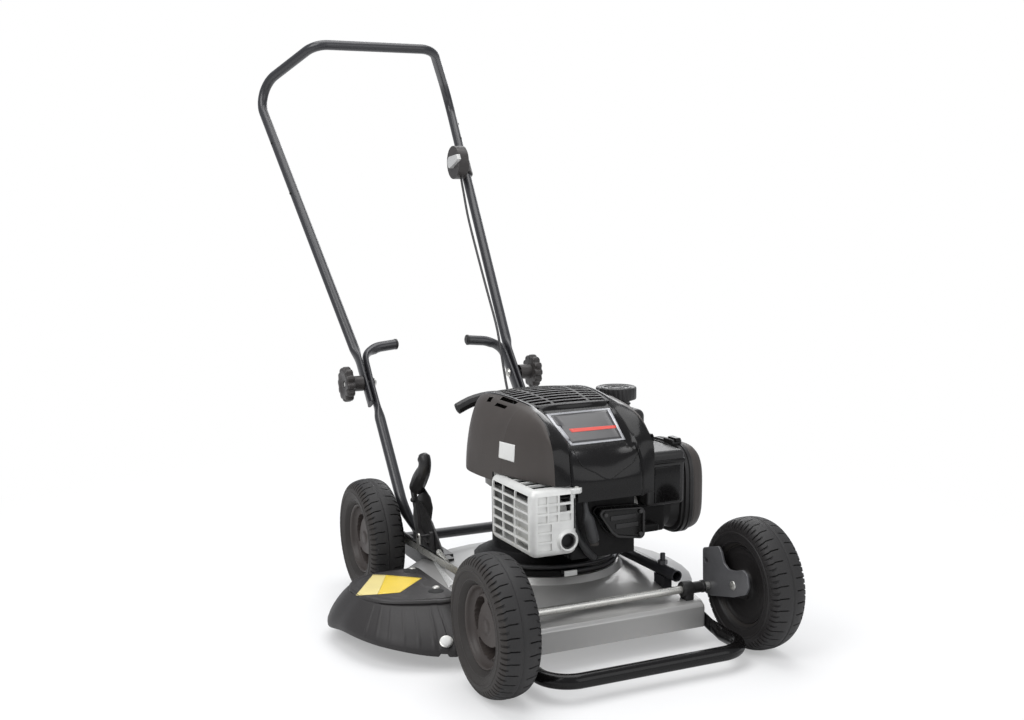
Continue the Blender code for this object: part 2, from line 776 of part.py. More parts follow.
def build_rear_bracket(side_name, side, deck_room):
    """A plate behind the deck that carries the rear axle and a handle foot."""
    inner = FOOT_X + FOOT_THICKNESS / 2 + LOOSE
    outer = inner + BRACKET_THICKNESS
    outline = rounded((
        (0.134, 0.060), (0.134, 0.0905), (0.225, 0.088), (0.332, 0.0875), (0.3430, 0.0725),
        (0.332, 0.056), (0.300, 0.048), (0.205, 0.048), (0.200, 0.060)), 0.004)
    plate = as_mesh(cut_out("rear_bracket_" + side_name, [outline], BRACKET_THICKNESS,
                            side * (inner + outer) / 2, "YZ", PAINT_BLACK))
    foot_sides = sorted((side * BRACKET_FOOT_X, side * (outer - 0.0002)))
    foot = box("bracket_foot_" + side_name, (foot_sides[0], 0.135, DECK_SINK),
               (foot_sides[1], 0.185, 0.0885))
    boss = rod("bracket_boss_" + side_name, (side * (inner - 0.002), REAR_AXLE_Y, REAR_AXLE_Z),
               (side * (outer + 0.004), REAR_AXLE_Y, REAR_AXLE_Z), REAR_TUBE_RADIUS + 0.004)
    bore = rod("bracket_bore_" + side_name, (side * (inner - 0.01), REAR_AXLE_Y, REAR_AXLE_Z),
               (side * (outer + 0.01), REAR_AXLE_Y, REAR_AXLE_Z), REAR_TUBE_RADIUS + LOOSE,
               sides=24)
    unite(plate, foot, boss)
    cut(plate, bore, deck_room)


def build_front_bush(side_name, side, deck_room):
    """A plastic bush on a saddle that carries the front rod."""
    x0 = side * BUSH_INNER_X
    x1 = side * BUSH_OUTER_X
    outer = FRONT_ROD_RADIUS + BUSH_WALL
    bush = rod("front_bush_" + side_name, (x0, FRONT_AXLE_Y, FRONT_AXLE_Z),
               (x1, FRONT_AXLE_Y, FRONT_AXLE_Z), outer, MATT_PLASTIC, sides=20)
    saddle = box("bush_saddle_" + side_name,
                 (min(x0, x1) + 0.0005, FRONT_AXLE_Y - outer + 0.0005, DECK_SINK),
                 (max(x0, x1) - 0.0005, FRONT_AXLE_Y + outer - 0.0005, FRONT_AXLE_Z - 0.001))
    bore = rod("bush_bore_" + side_name, (x0 - side * 0.01, FRONT_AXLE_Y, FRONT_AXLE_Z),
               (x1 + side * 0.01, FRONT_AXLE_Y, FRONT_AXLE_Z), FRONT_ROD_RADIUS + GAP, sides=24)
    unite(bush, saddle)
    cut(bush, bore, deck_room)


def build_rail(deck_room):
    """The open-ended guide rail on the user's left of the deck."""
    x = RAIL_X
    inner = RAIL_RADIUS - RAIL_WALL
    rail = turned("deck_rail", ((RAIL_RADIUS, -RAIL_FRONT_Y), (RAIL_RADIUS, -RAIL_REAR_Y),
                                (inner, -RAIL_REAR_Y), (inner, -RAIL_FRONT_Y)), PAINT_BLACK,
                  (x, 0.0, RAIL_Z), axis="-Y", sides=16, ring=True)
    feet = []
    under = RAIL_Z - RAIL_RADIUS + 0.0015
    for name, low_y, high_y in RAIL_FEET:
        feet.append(box("rail_foot_" + name, (x - RAIL_FOOT_HALF, low_y, DECK_SINK),
                        (x + RAIL_FOOT_HALF, high_y, under)))
    above = RAIL_Z + RAIL_RADIUS
    stud = rod("rail_stud", (x, RAIL_STUD_Y, above - 0.0015), (x, RAIL_STUD_Y, above + 0.017),
               0.004, sides=12)
    nut = rod("rail_nut", (x, RAIL_STUD_Y, above - 0.0005), (x, RAIL_STUD_Y, above + 0.006),
              0.0075, sides=6)
    unite(rail, *feet, stud, nut)
    cut(rail, deck_room)


# Axles and wheels

def crank_plate(name, body, side, outline, axle, wheel_y, pinned):
    """A crank plate with its stub axle, and a link pin where it is on the lever's side."""
    plate = as_mesh(cut_out(name, outline, CRANK_THICKNESS, side * (CRANK_X + CRANK_THICKNESS / 2),
                            "YZ", DARK_STEEL, body))
    middle = CRANK_X + CRANK_THICKNESS / 2
    stub = rod(name + "_stub", (side * middle, wheel_y, WHEEL_RADIUS),
               (side * (CRANK_X + CRANK_THICKNESS + STUB_DEPTH), wheel_y, WHEEL_RADIUS), STUB_RADIUS,
               body=body, sides=20)
    unite(plate, stub)
    if pinned:
        y = axle[0] + PIN_ARM_Y
        z = axle[1] + PIN_ARM_Z
        pin = rod(name + "_pin", (side * middle, y, z),
                  (LINK_X + LINK_THICKNESS / 2 + 0.0005, y, z), PIN_RADIUS, body=body, sides=12)
        unite(plate, pin)


def build_axles():
    """Both crank axles with their plates."""
    reach = CRANK_X - GAP
    rod("front_axle_rod", (-reach, FRONT_AXLE_Y, FRONT_AXLE_Z), (reach, FRONT_AXLE_Y, FRONT_AXLE_Z),
        FRONT_ROD_RADIUS, ZINC, "front_axle", 24)
    inner = REAR_TUBE_RADIUS - REAR_TUBE_WALL
    turned("rear_axle_tube", ((REAR_TUBE_RADIUS, reach), (REAR_TUBE_RADIUS, -reach),
                              (inner, -reach), (inner, reach)), PAINT_BLACK,
           (0.0, REAR_AXLE_Y, REAR_AXLE_Z), "+X", "rear_axle", 24, ring=True)
    front_outline = rounded((
        (-0.179, 0.141), (-0.223, 0.153), (-0.243, 0.123), (-0.286, 0.133), (-0.298, 0.104),
        (-0.292, 0.094), (-0.240, 0.066), (-0.184, 0.073)), 0.006)
    rear_outline = rounded((
        (0.343, 0.060), (0.345, 0.112), (0.318, 0.114), (0.262, 0.122), (0.240, 0.116),
        (0.236, 0.088), (0.252, 0.076), (0.310, 0.054)), 0.007)
    hole_y = FRONT_AXLE_Y + PIN_ARM_Y
    hole_z = FRONT_AXLE_Z + PIN_ARM_Z
    for side_name, side in SIDES:
        pinned = side < 0
        front_loops = [front_outline]
        if not pinned:
            front_loops.append(circle((hole_y, hole_z), 0.004, 12))
        crank_plate("front_crank_" + side_name, "front_axle", side, front_loops,
                    (FRONT_AXLE_Y, FRONT_AXLE_Z), FRONT_WHEEL_Y, pinned)
        crank_plate("rear_crank_" + side_name, "rear_axle", side, [rear_outline],
                    (REAR_AXLE_Y, REAR_AXLE_Z), REAR_WHEEL_Y, pinned)


def tyre_profile():
    """The tyre's section as (radius, offset) points."""
    corner = math.cos(math.pi / WHEEL_SIDES)
    crown = WHEEL_RADIUS / corner
    half = WHEEL_WIDTH / 2
    rim = RIM_WIDTH / 2
    return (
        (crown, CROWN_WIDTH / 2), (crown, -CROWN_WIDTH / 2),
        (crown - SHOULDER_DROP, -half), (RIM_RADIUS + 0.004, -half + 0.002),
        (RIM_RADIUS, -rim), (RIM_RADIUS, rim),
        (RIM_RADIUS + 0.004, half - 0.002), (crown - SHOULDER_DROP, half),
    )


def rim_profile(side_gap):
    """The rim's section, with a closed cap outside and a blind bore from inside."""
    outer = RIM_RADIUS - GAP
    half = RIM_WIDTH / 2
    inner = outer - RIM_WALL
    back = WEB_OUTER - WEB_THICKNESS
    bore = STUB_RADIUS + GAP
    hub_end = -(WHEEL_X - CRANK_X - CRANK_THICKNESS - GAP)
    bore_end = STUB_DEPTH - (WHEEL_X - CRANK_X - CRANK_THICKNESS) + side_gap
    return (
        (0.0, WEB_OUTER + 0.003), (HUB_RADIUS, WEB_OUTER),
        (inner - 0.001, WEB_OUTER), (inner, half), (outer, half), (outer, -half),
        (inner, -half), (inner - 0.001, back), (HUB_RADIUS, back), (HUB_RADIUS * 0.85, hub_end),
        (bore, hub_end), (bore, bore_end), (0.0, bore_end),
    )


def kidney(name, angle, side, place_at, body):
    """A cutter for one kidney-shaped window in a wheel's web."""
    steps = 4
    points = []
    for radius, order in ((WINDOW_OUTER, 1), (WINDOW_INNER, -1)):
        spread = WINDOW_HALF_ANGLE if order == 1 else WINDOW_HALF_ANGLE * 0.8
        for k in range(steps):
            a = angle + order * spread * (2 * k / (steps - 1) - 1)
            points.append((place_at[1] + radius * math.cos(a), place_at[2] + radius * math.sin(a)))
    level = place_at[0] + side * (WEB_OUTER - WEB_THICKNESS / 2)
    return as_mesh(cut_out(name, [points], WEB_THICKNESS + 0.006, level, "YZ", body=body))


def build_wheel(end_name, end_y, side_name, side):
    """A tyre and its rim."""
    body = "wheel_" + end_name + "_" + side_name
    name = end_name + "_" + side_name
    at = (side * WHEEL_X, end_y, WHEEL_RADIUS)
    axis = "+X" if side > 0 else "-X"
    half_step = math.pi / WHEEL_SIDES
    turned("tyre_" + name, tyre_profile(), RUBBER, at, axis, body, WHEEL_SIDES, True, half_step)
    rim = turned("rim_" + name, rim_profile(LOOSE), MATT_PLASTIC, at, axis, body, WHEEL_SIDES,
                 False, half_step)
    windows = [kidney("window_" + name + str(k), math.pi / 2 + 2 * math.pi * k / 3, side, at, body)
               for k in range(3)]
    cut(rim, *windows)


# Height adjuster

def build_height_adjuster(deck_room):
    """Quadrant plate, lever with its grip, and the link bar that turns both axles."""
    pivot = (LEVER_PIVOT_Y, LEVER_PIVOT_Z)
    quadrant = as_mesh(cut_out("height_quadrant", [rounded((
        (0.105, 0.062), (0.105, 0.104), (0.150, 0.142), (0.196, 0.166), (0.232, 0.162),
        (0.238, 0.130), (0.214, 0.085), (0.200, 0.062)), 0.005)],
        QUADRANT_THICKNESS, QUADRANT_X, "YZ", DARK_STEEL))
    foot = box("quadrant_foot", (QUADRANT_X - QUADRANT_THICKNESS / 2 + 0.0002, 0.1055, 0.060),
               (QUADRANT_X + 0.020, 0.128, 0.0895))
    stud = rod("quadrant_stud", (QUADRANT_X, *pivot),
               (LEVER_X - LEVER_THICKNESS / 2 - 0.002, *pivot), LEVER_PIVOT_RADIUS, sides=16)
    unite(quadrant, foot, stud)
    cut(quadrant, deck_room)

    arm = (LEVER_PIVOT_Y + PIN_ARM_Y, LEVER_PIVOT_Z + PIN_ARM_Z)
    lever = as_mesh(cut_out("height_lever", [strip((pivot, *LEVER_PATH), LEVER_WIDTH)],
                            LEVER_THICKNESS, LEVER_X, "YZ", DARK_STEEL, "height_lever"))
    ear = as_mesh(cut_out("lever_ear", [strip((pivot, arm), LEVER_WIDTH - 0.002)],
                          LEVER_THICKNESS - 0.0004, LEVER_X, "YZ", body="height_lever"))
    pin = rod("lever_pin", (LEVER_X, *arm), (LINK_X - LINK_THICKNESS / 2 - 0.0005, *arm),
              PIN_RADIUS, body="height_lever", sides=12)
    bore = rod("lever_bore", (LEVER_X - 0.01, *pivot), (LEVER_X + 0.01, *pivot),
               LEVER_PIVOT_RADIUS + GAP, body="height_lever", sides=16)
    unite(lever, ear, pin)
    cut(lever, bore)

    top = Vector(LEVER_PATH[-1])
    end = Vector((GRIP_END_Y, GRIP_END_Z))
    run = end - top
    start = top + run.normalized() * (LEVER_WIDTH / 2 + GAP)
    centre = (start + end) / 2
    length = (end - start).length
    lean = math.atan2(-run.x, run.y)
    half = Vector((GRIP_WIDTH, GRIP_DEPTH, length)) / 2
    middle = Vector((LEVER_X, centre.x, centre.y))
    box("lever_grip", middle - half, middle + half, MATT_PLASTIC, "height_lever", 0.004,
        (lean, 0.0, 0.0))

    front = (FRONT_AXLE_Y + PIN_ARM_Y, FRONT_AXLE_Z + PIN_ARM_Z)
    rear = (REAR_AXLE_Y + PIN_ARM_Y, REAR_AXLE_Z + PIN_ARM_Z)
    link = as_mesh(cut_out("height_link", [strip((front, rear), LINK_WIDTH)], LINK_THICKNESS,
                           LINK_X, "YZ", ZINC, "height_link"))
    lug = as_mesh(cut_out("link_lug", [strip(((arm[0], arm[1] - 0.018), arm), LINK_WIDTH)],
                          LINK_THICKNESS - 0.0004, LINK_X, "YZ", body="height_link"))
    unite(link, lug)
    for number, (y, z) in enumerate((front, arm, rear)):
        hole = rod("link_hole_" + str(number), (LINK_X - 0.01, y, z), (LINK_X + 0.01, y, z),
                   PIN_RADIUS + LOOSE, body="height_link", sides=12)
        cut(link, hole)


# Engine

def build_block():
    """Sump, and engine block with its finned cylinder, bored for the crankshaft."""
    centre = (0.0, DECK_CENTRE_Y, 0.0)
    bore = SHAFT_RADIUS + GAP + 0.0001
    bottom = PLATFORM_TOP + GAP
    turned("sump", (
        (BLOCK_RADIUS, SUMP_TOP), (BLOCK_RADIUS, SUMP_TOP - 0.010), (0.100, bottom + 0.0135),
        (SUMP_FLANGE_RADIUS, bottom + 0.0095), (SUMP_FLANGE_RADIUS, bottom), (bore, bottom),
        (bore, SUMP_TOP)), BLACK_ALLOY, centre, ring=True)
    low = SUMP_TOP + GAP
    block = turned("engine_block", ((BLOCK_RADIUS, BLOCK_TOP), (BLOCK_RADIUS, low), (bore, low),
                                    (bore, BLOCK_TOP)), BLACK_ALLOY, centre, ring=True)
    width = CYLINDER_LEFT_X - CYLINDER_RIGHT_X
    middle = (CYLINDER_LEFT_X + CYLINDER_RIGHT_X) / 2
    cylinder = as_mesh(cut_out("cylinder", [fin_outline()], width, middle, "YZ"))
    boolean(block, [cylinder], "UNION", "MANIFOLD")
    for number, angle in enumerate(COWL_POST_ANGLES):
        unite(block, *cowl_post(str(number), math.radians(angle)))
    depth = VALVE_COVER_DEPTH
    box("valve_cover", (-0.012, CYLINDER_FRONT_Y - depth - GAP, 0.170),
        (0.066, CYLINDER_FRONT_Y - GAP, 0.222), GLOSS_PLASTIC, round_edge=0.005)


def cowl_post(name, angle):
    """An arm on the block and the post on it that carries the cowl's lower edge."""
    spots = [(radius * math.cos(angle), DECK_CENTRE_Y + radius * math.sin(angle))
             for radius in (BLOCK_RADIUS - 0.005, COWL_POST_CENTRE)]
    arm = rod("post_arm_" + name, (*spots[0], COWL_POST_BASE), (*spots[1], COWL_POST_BASE),
              COWL_POST_RADIUS + 0.0015, sides=8)
    post = rod("post_" + name, (*spots[1], COWL_POST_BASE), (*spots[1], COWL_BOTTOM - GAP),
               COWL_POST_RADIUS, sides=8)
    return arm, post


def fin_outline():
    """The cylinder's side view with its cooling fins."""
    core_low = 0.152
    core_high = 0.206
    fin_low = 0.145
    fin_high = 0.238
    rear = -0.030
    top = []
    bottom = []
    for k in range(FIN_COUNT):
        front_edge = CYLINDER_FRONT_Y + k * FIN_PITCH
        back_edge = front_edge + FIN_THICKNESS
        top += [(front_edge, core_high), (front_edge, fin_high), (back_edge, fin_high),
                (back_edge, core_high)]
        bottom += [(front_edge, core_low), (front_edge, fin_low), (back_edge, fin_low),
                   (back_edge, core_low)]
    top = top[1:]
    bottom = bottom[1:]
    return [(rear, core_low), *bottom[::-1], *top, (rear, core_high)]


def build_exhaust():
    """The muffler can and the cast guard round it."""
    low = Vector(GUARD_LOW) + Vector((GUARD_WALL + 0.0006, GUARD_WALL + 0.004, 0.006))
    high = Vector(GUARD_HIGH) - Vector((0.008, 0.020, GUARD_WALL + 0.004))
    muffler = box("muffler", low, high, DARK_STEEL, round_edge=0.008)
    wall = Vector((MUFFLER_WALL,) * 3)
    hollow = box("muffler_hollow", low + wall, high - wall, round_edge=0.006)
    inlet = rod("muffler_inlet", (high.x - 0.001, -0.115, 0.195),
                (CYLINDER_RIGHT_X - GAP, -0.115, 0.195), 0.012, sides=16)
    outlet = rod("muffler_outlet", (OUTLET_X, low.y + 0.0035, OUTLET_Z),
                 (OUTLET_X, GUARD_LOW[1] - 0.001, OUTLET_Z), OUTLET_RADIUS - GAP, sides=20)
    opening = rod("muffler_opening", (OUTLET_X, low.y + 0.010, OUTLET_Z),
                  (OUTLET_X, GUARD_LOW[1] - 0.01, OUTLET_Z), OUTLET_RADIUS - 0.002, sides=20)
    unite(muffler, outlet)
    cut(muffler, hollow, opening)
    unite(muffler, inlet)

    guard = box("muffler_guard", GUARD_LOW, GUARD_HIGH, CAST_ALLOY, round_edge=0.010)
    wall = Vector((GUARD_WALL,) * 3)
    inside_high = Vector(GUARD_HIGH) + Vector((0.02, -GUARD_WALL, -GUARD_WALL))
    inside_low = Vector(GUARD_LOW) + wall
    inside_low.z = GUARD_LOW[2] + GUARD_WALL
    inside = box("guard_inside", inside_low, inside_high, round_edge=0.006)
    ring = rod("guard_ring", (OUTLET_X, GUARD_LOW[1] + 0.002, OUTLET_Z),
               (OUTLET_X, GUARD_LOW[1] - 0.004, OUTLET_Z), OUTLET_RADIUS + OUTLET_WALL, sides=20)
    hole = rod("guard_hole", (OUTLET_X, GUARD_LOW[1] + 0.02, OUTLET_Z),
               (OUTLET_X, GUARD_LOW[1] - 0.02, OUTLET_Z), OUTLET_RADIUS, sides=20)
    tab = box("guard_tab", (GUARD_HIGH[0] - 0.016, GUARD_LOW[1] + 0.0015, 0.228),
              (CYLINDER_RIGHT_X + 0.012, GUARD_LOW[1] + 0.006, 0.242))
    arm = box("guard_arm", (CYLINDER_RIGHT_X + 0.001, GUARD_LOW[1] + 0.0045, 0.2285),
              (CYLINDER_RIGHT_X + 0.0115, CYLINDER_FRONT_Y - GAP, 0.2375))
    fan_room = rod("fan_room", (0, DECK_CENTRE_Y, FLYWHEEL_BOTTOM - 0.003),
                   (0, DECK_CENTRE_Y, VANE_TOP), FLYWHEEL_RADIUS + 0.003, sides=32)
    unite(guard, ring)
    cut(guard, inside, slot_cutter(), hole, fan_room)
    unite(guard, tab, arm)


def slot_cutter():
    """All the slots in the guard's side, top and front, as one cutter."""
    bm = bmesh.new()
    low = Vector(GUARD_LOW)
    high = Vector(GUARD_HIGH)
    pitch = (high.z - low.z - 0.024) / GUARD_SLOT_ROWS
    spans = ((low.y + 0.016, low.y + 0.068), (low.y + 0.078, high.y - 0.014))
    for row in range(GUARD_SLOT_ROWS):
        z = low.z + 0.012 + pitch * (row + 0.5)
        for y0, y1 in spans:
            half = pitch * GUARD_SLOT_SHARE / 2
            add_block(bm, (low.x - 0.01, y0, z - half), (low.x + 0.012, y1, z + half))
    for k in range(4):
        y = low.y + 0.030 + k * 0.030
        add_block(bm, (low.x + 0.016, y - 0.008, high.z - 0.012),
                  (high.x - 0.012, y + 0.008, high.z + 0.01))
    for k in range(3):
        z = OUTLET_Z + 0.031 + k * 0.0115
        add_block(bm, (low.x + 0.014, low.y - 0.01, z - 0.0032),
                  (high.x - 0.010, low.y + 0.012, z + 0.0032))
    return place("guard_slots", mesh_from("guard_slots", bm), None)


def add_block(bm, low, high):
    """Add a block between two corners to a bmesh."""
    size = Vector(high) - Vector(low)
    move = Matrix.Translation((Vector(low) + Vector(high)) / 2)
    bmesh.ops.create_cube(bm, size=1.0, matrix=move @ Matrix.Diagonal((*size, 1.0)))


def cowl_height(y):
    """Height of the cowl's crest along its length."""
    crest = ((-0.195, 0.318), (-0.185, 0.326), (-0.15, 0.344), (-0.10, 0.361), (-0.05, 0.371),
             (0.0, 0.3735), (0.05, 0.371), (0.10, 0.362), (0.143, 0.347))
    for (y0, z0), (y1, z1) in zip(crest, crest[1:]):
        if y <= y1:
            return z0 + (z1 - z0) * max(0.0, y - y0) / (y1 - y0)
    return crest[-1][1]


def cowl_outline():
    """The cowl's plan: round at the rear, drawn in towards a flat front."""
    front = COWL_FRONT_Y
    radius = COWL_REAR_RADIUS
    points = []
    rear_count = COWL_POINTS // 2
    for k in range(rear_count + 1):
        angle = math.pi * k / rear_count
        points.append((radius * math.cos(angle), DECK_CENTRE_Y + radius * math.sin(angle)))
    side = ((-0.123, -0.020), (-0.117, -0.065), (-0.107, -0.110), (-0.095, -0.150),
            (-COWL_FRONT_HALF - 0.004, front + 0.012), (-COWL_FRONT_HALF + 0.012, front))
    points += side
    points += [(-0.030, front - 0.002), (0.030, front - 0.002)]
    points += [(-x, y) for x, y in side[::-1]]
    return points


def cowl_rings():
    """Rings of the cowl from its lower edge over the shoulder to the middle of its top."""
    outline = cowl_outline()
    # drop below the crest, and share of the way in to the spine
    levels = ((None, 0.0), (0.036, 0.0), (0.015, 0.06), (0.003, 0.20), (0.0, 0.50), (0.0, 0.90))
    rings = []
    for drop, share in levels:
        ring = []
        for x, y in outline:
            spine = Vector((0.0, min(DECK_CENTRE_Y, max(-0.115, y))))
            arm = Vector((x, y)) - spine
            spot = spine + arm * (1 - share)
            height = COWL_BOTTOM if drop is None else cowl_height(spot.y) - drop
            ring.append((spot.x, spot.y, height))
        rings.append(ring)
    return rings


def build_cowl():
    """The blower housing over the flywheel, cut away round its neighbours."""
    cowl = loft("blower_cowl", cowl_rings(), GLOSS_PLASTIC, wall=COWL_WALL, open_ends=True)
    guard_low = Vector(GUARD_LOW) - Vector((0.02, 0.02, 0.05))
    guard_high = Vector(GUARD_HIGH) + Vector((0.001, 0.001, 0.0015))
    guard_room = box("guard_room", guard_low, guard_high)
    filter_room = rod("filter_room", (FILTER_BASE_X - 0.002, FILTER_Y, FILTER_Z),
                      (FILTER_RIM_X + 0.02, FILTER_Y, FILTER_Z), FILTER_RADIUS + 0.001, sides=32)
    cap_room = rod("cap_room", (CAP_X, CAP_Y, CAP_BOTTOM - 0.008), (CAP_X, CAP_Y, CAP_TOP + 0.05),
                   CAP_RADIUS + 0.0015, sides=24)
    cut(cowl, guard_room, filter_room, cap_room)
    boolean(cowl, [grille_cutter()], "DIFFERENCE", "MANIFOLD")


def grille_cutter():
    """Slots in the top of the cowl, over the fan."""
    bm = bmesh.new()
    for row in range(GRILLE_ROWS):
        y = DECK_CENTRE_Y + GRILLE_START - row * GRILLE_PITCH
        reach = math.sqrt(GRILLE_RADIUS ** 2 - (y - DECK_CENTRE_Y) ** 2)
        for x0, x1 in ((-reach, -0.004), (0.004, reach)):
            add_block(bm, (x0, y - 0.004, 0.330), (x1, y + 0.004, 0.40))
    return place("grille_slots", mesh_from("grille_slots", bm), None)


def build_air_filter():
    """Carburettor, filter housing, element and the round cover."""
    rod("carburettor", (CYLINDER_LEFT_X + GAP, -0.095, 0.200), (FILTER_BASE_X - GAP, -0.095, 0.200),
        0.017, CAST_ALLOY, sides=16)
    bowl = rod("carburettor_bowl", (0.075, -0.095, 0.170), (0.075, -0.095, 0.200), 0.0135, sides=16)
    unite(bpy.data.objects["carburettor"], bowl)
    at = (0.0, FILTER_Y, FILTER_Z)
    rim = FILTER_RIM_X
    wall = 0.004
    floor = FILTER_BASE_X + 0.035
    turned("air_filter_base", (
        (0.0, floor), (FILTER_RADIUS - 0.017, floor), (FILTER_RADIUS - 0.0135, rim),
        (FILTER_RADIUS, rim), (FILTER_RADIUS, rim - 0.010), (FILTER_RADIUS - 0.0085, rim - 0.012),
        (FILTER_RADIUS - 0.0155, FILTER_BASE_X), (0.0, FILTER_BASE_X)), MATT_PLASTIC, at, "+X")
    turned("air_filter_element", (
        (FILTER_RADIUS - 0.0195, rim - wall), (FILTER_RADIUS - 0.0195, floor + GAP),
        (0.034, floor + GAP), (0.034, rim - wall)), FOAM, at, "+X", sides=24, ring=True)
    top = rim + FILTER_COVER_DEPTH
    low = rim + GAP
    turned("air_cleaner_cover", (
        (0.0, top), (FILTER_RADIUS * 0.73, top), (FILTER_RADIUS, top - 0.010), (FILTER_RADIUS, low),
        (FILTER_RADIUS - wall, low), (FILTER_RADIUS - wall, top - 0.012),
        (FILTER_RADIUS * 0.66, top - wall), (0.0, top - wall)), GLOSS_PLASTIC, at, "+X",
        "air_cover")


def build_fuel():
    """The fuel tank beside the cowl, and its cap."""
    tank = box("fuel_tank", TANK_LOW, TANK_HIGH, MATT_PLASTIC, round_edge=0.012)
    neck = rod("tank_neck", (CAP_X, CAP_Y, TANK_HIGH[2] - 0.012), (CAP_X, CAP_Y, CAP_BOTTOM - GAP),
               NECK_RADIUS, sides=20)
    cowl_room = rod("cowl_room", (0, DECK_CENTRE_Y, TANK_LOW[2] - 0.02),
                    (0, DECK_CENTRE_Y, CAP_TOP + 0.05), COWL_REAR_RADIUS + LOOSE, sides=48)
    unite(tank, neck)
    cut(tank, cowl_room)
    turned("fuel_cap", (
        (0.0, CAP_TOP), (CAP_RADIUS * 0.82, CAP_TOP), (CAP_RADIUS, CAP_TOP - 0.005),
        (CAP_RADIUS, CAP_BOTTOM), (0.0, CAP_BOTTOM)), MATT_PLASTIC, (CAP_X, CAP_Y, 0.0),
        body="fuel_cap", sides=24)


def build_ignition():
    """Spark plug and its boot, in front of the cylinder head."""
    face = -CYLINDER_FRONT_Y + GAP
    at = (-0.028, 0.0, 0.195)
    turned("spark_plug", (
        (0.0, face + 0.028), (0.004, face + 0.028), (0.0055, face + 0.009), (0.0095, face + 0.008),
        (0.0095, face), (0.0, face)), CERAMIC, at, "-Y", sides=12)
    inner = 0.0062
    turned("spark_plug_boot", (
        (0.0, face + 0.036), (0.009, face + 0.036), (0.0105, face + 0.030),
        (0.0105, face + 0.0095), (inner, face + 0.0095), (inner, face + 0.0285),
        (0.0, face + 0.0285)), RUBBER, at, "-Y", sides=16)


def build_starter():
    """The pull grip behind the cowl and the cord that leads to it."""
    route = smooth_route((
        (STARTER_X - 0.062, STARTER_Y, 0.327), (STARTER_X - 0.035, STARTER_Y, 0.338),
        (STARTER_X, STARTER_Y, 0.343), (STARTER_X + 0.035, STARTER_Y, 0.338),
        (STARTER_X + 0.062, STARTER_Y, 0.327)), 0.012)
    tube("starter_grip", route, GRIP_BAR_RADIUS, MATT_PLASTIC, "starter_handle")
    cowl_y = DECK_CENTRE_Y + math.sqrt(COWL_REAR_RADIUS ** 2 - STARTER_X ** 2)
    tube("starter_cord", ((STARTER_X, STARTER_Y, 0.343 - GRIP_BAR_RADIUS - GAP),
                          (STARTER_X, STARTER_Y - 0.002, 0.320),
                          (STARTER_X, cowl_y + ROPE_RADIUS - 0.00015, 0.300)),
         ROPE_RADIUS, CORD, "starter_handle")


def build_drive():
    """Crankshaft, flywheel, blade carrier and the two swing-back blades."""
    body = "blade_drive"
    pilot = 0.008
    seat = CARRIER_BOTTOM + CARRIER_THICKNESS + GAP
    under = CARRIER_BOTTOM - GAP
    centre = (0.0, DECK_CENTRE_Y, 0.0)
    turned("crankshaft", (
        (0.0, 0.300), (SHAFT_RADIUS - 0.002, 0.300), (SHAFT_RADIUS, 0.297), (SHAFT_RADIUS, seat),
        (pilot, seat), (pilot, under), (0.013, under), (0.013, 0.038), (0.0, 0.038)),
        BLADE_STEEL, centre, body=body, sides=24)
    bore = SHAFT_RADIUS + GAP + 0.0001
    wheel = turned("flywheel", (
        (FLYWHEEL_RADIUS, FLYWHEEL_TOP), (FLYWHEEL_RADIUS, FLYWHEEL_BOTTOM), (bore, FLYWHEEL_BOTTOM),
        (bore, FLYWHEEL_TOP)), CAST_ALLOY, centre, body=body, sides=24, ring=True)
    vane_height = VANE_TOP - FLYWHEEL_TOP + 0.002
    fan = as_mesh(cut_out("flywheel_fan", [fan_outline(), circle((0.0, DECK_CENTRE_Y), 0.024)],
                          vane_height, VANE_TOP - vane_height / 2, "XY", body=body))
    unite(wheel, fan)

    half = CARRIER_LENGTH / 2
    level = CARRIER_BOTTOM + CARRIER_THICKNESS / 2
    wide = CARRIER_WIDTH / 2
    y = DECK_CENTRE_Y
    outline = rounded((
        (half, y - 0.017), (half, y + 0.017), (half - 0.05, y + wide), (-half + 0.05, y + wide),
        (-half, y + 0.017), (-half, y - 0.017), (-half + 0.05, y - wide), (half - 0.05, y - wide)),
        0.010)
    carrier = as_mesh(cut_out("blade_carrier", [outline, circle((0.0, y), pilot + GAP)],
                              CARRIER_THICKNESS, level, "XY", BLADE_STEEL, body))
    pin_base = BLADE_BOTTOM - GAP
    for side_name, side in SIDES:
        x = side * BLADE_PIVOT_RADIUS
        pin = rod("blade_pin_" + side_name, (x, y, pin_base - 0.001), (x, y, level),
                  BLADE_PIN_RADIUS, body=body, sides=16)
        head = rod("blade_pin_head_" + side_name, (x, y, pin_base - 0.002), (x, y, pin_base),
                   BLADE_PIN_RADIUS + 0.003, body=body, sides=16)
        unite(carrier, pin, head)
        build_blade(side_name, side)


def fan_outline():
    """A star of straight vanes."""
    points = []
    for k in range(VANE_COUNT):
        angle = 2 * math.pi * k / VANE_COUNT
        step = math.pi / VANE_COUNT
        for radius, turn in ((0.034, -step * 0.55), (0.086, -step * 0.2), (0.086, step * 0.2),
                             (0.034, step * 0.55)):
            points.append((radius * math.cos(angle + turn),
                           DECK_CENTRE_Y + radius * math.sin(angle + turn)))
    return points


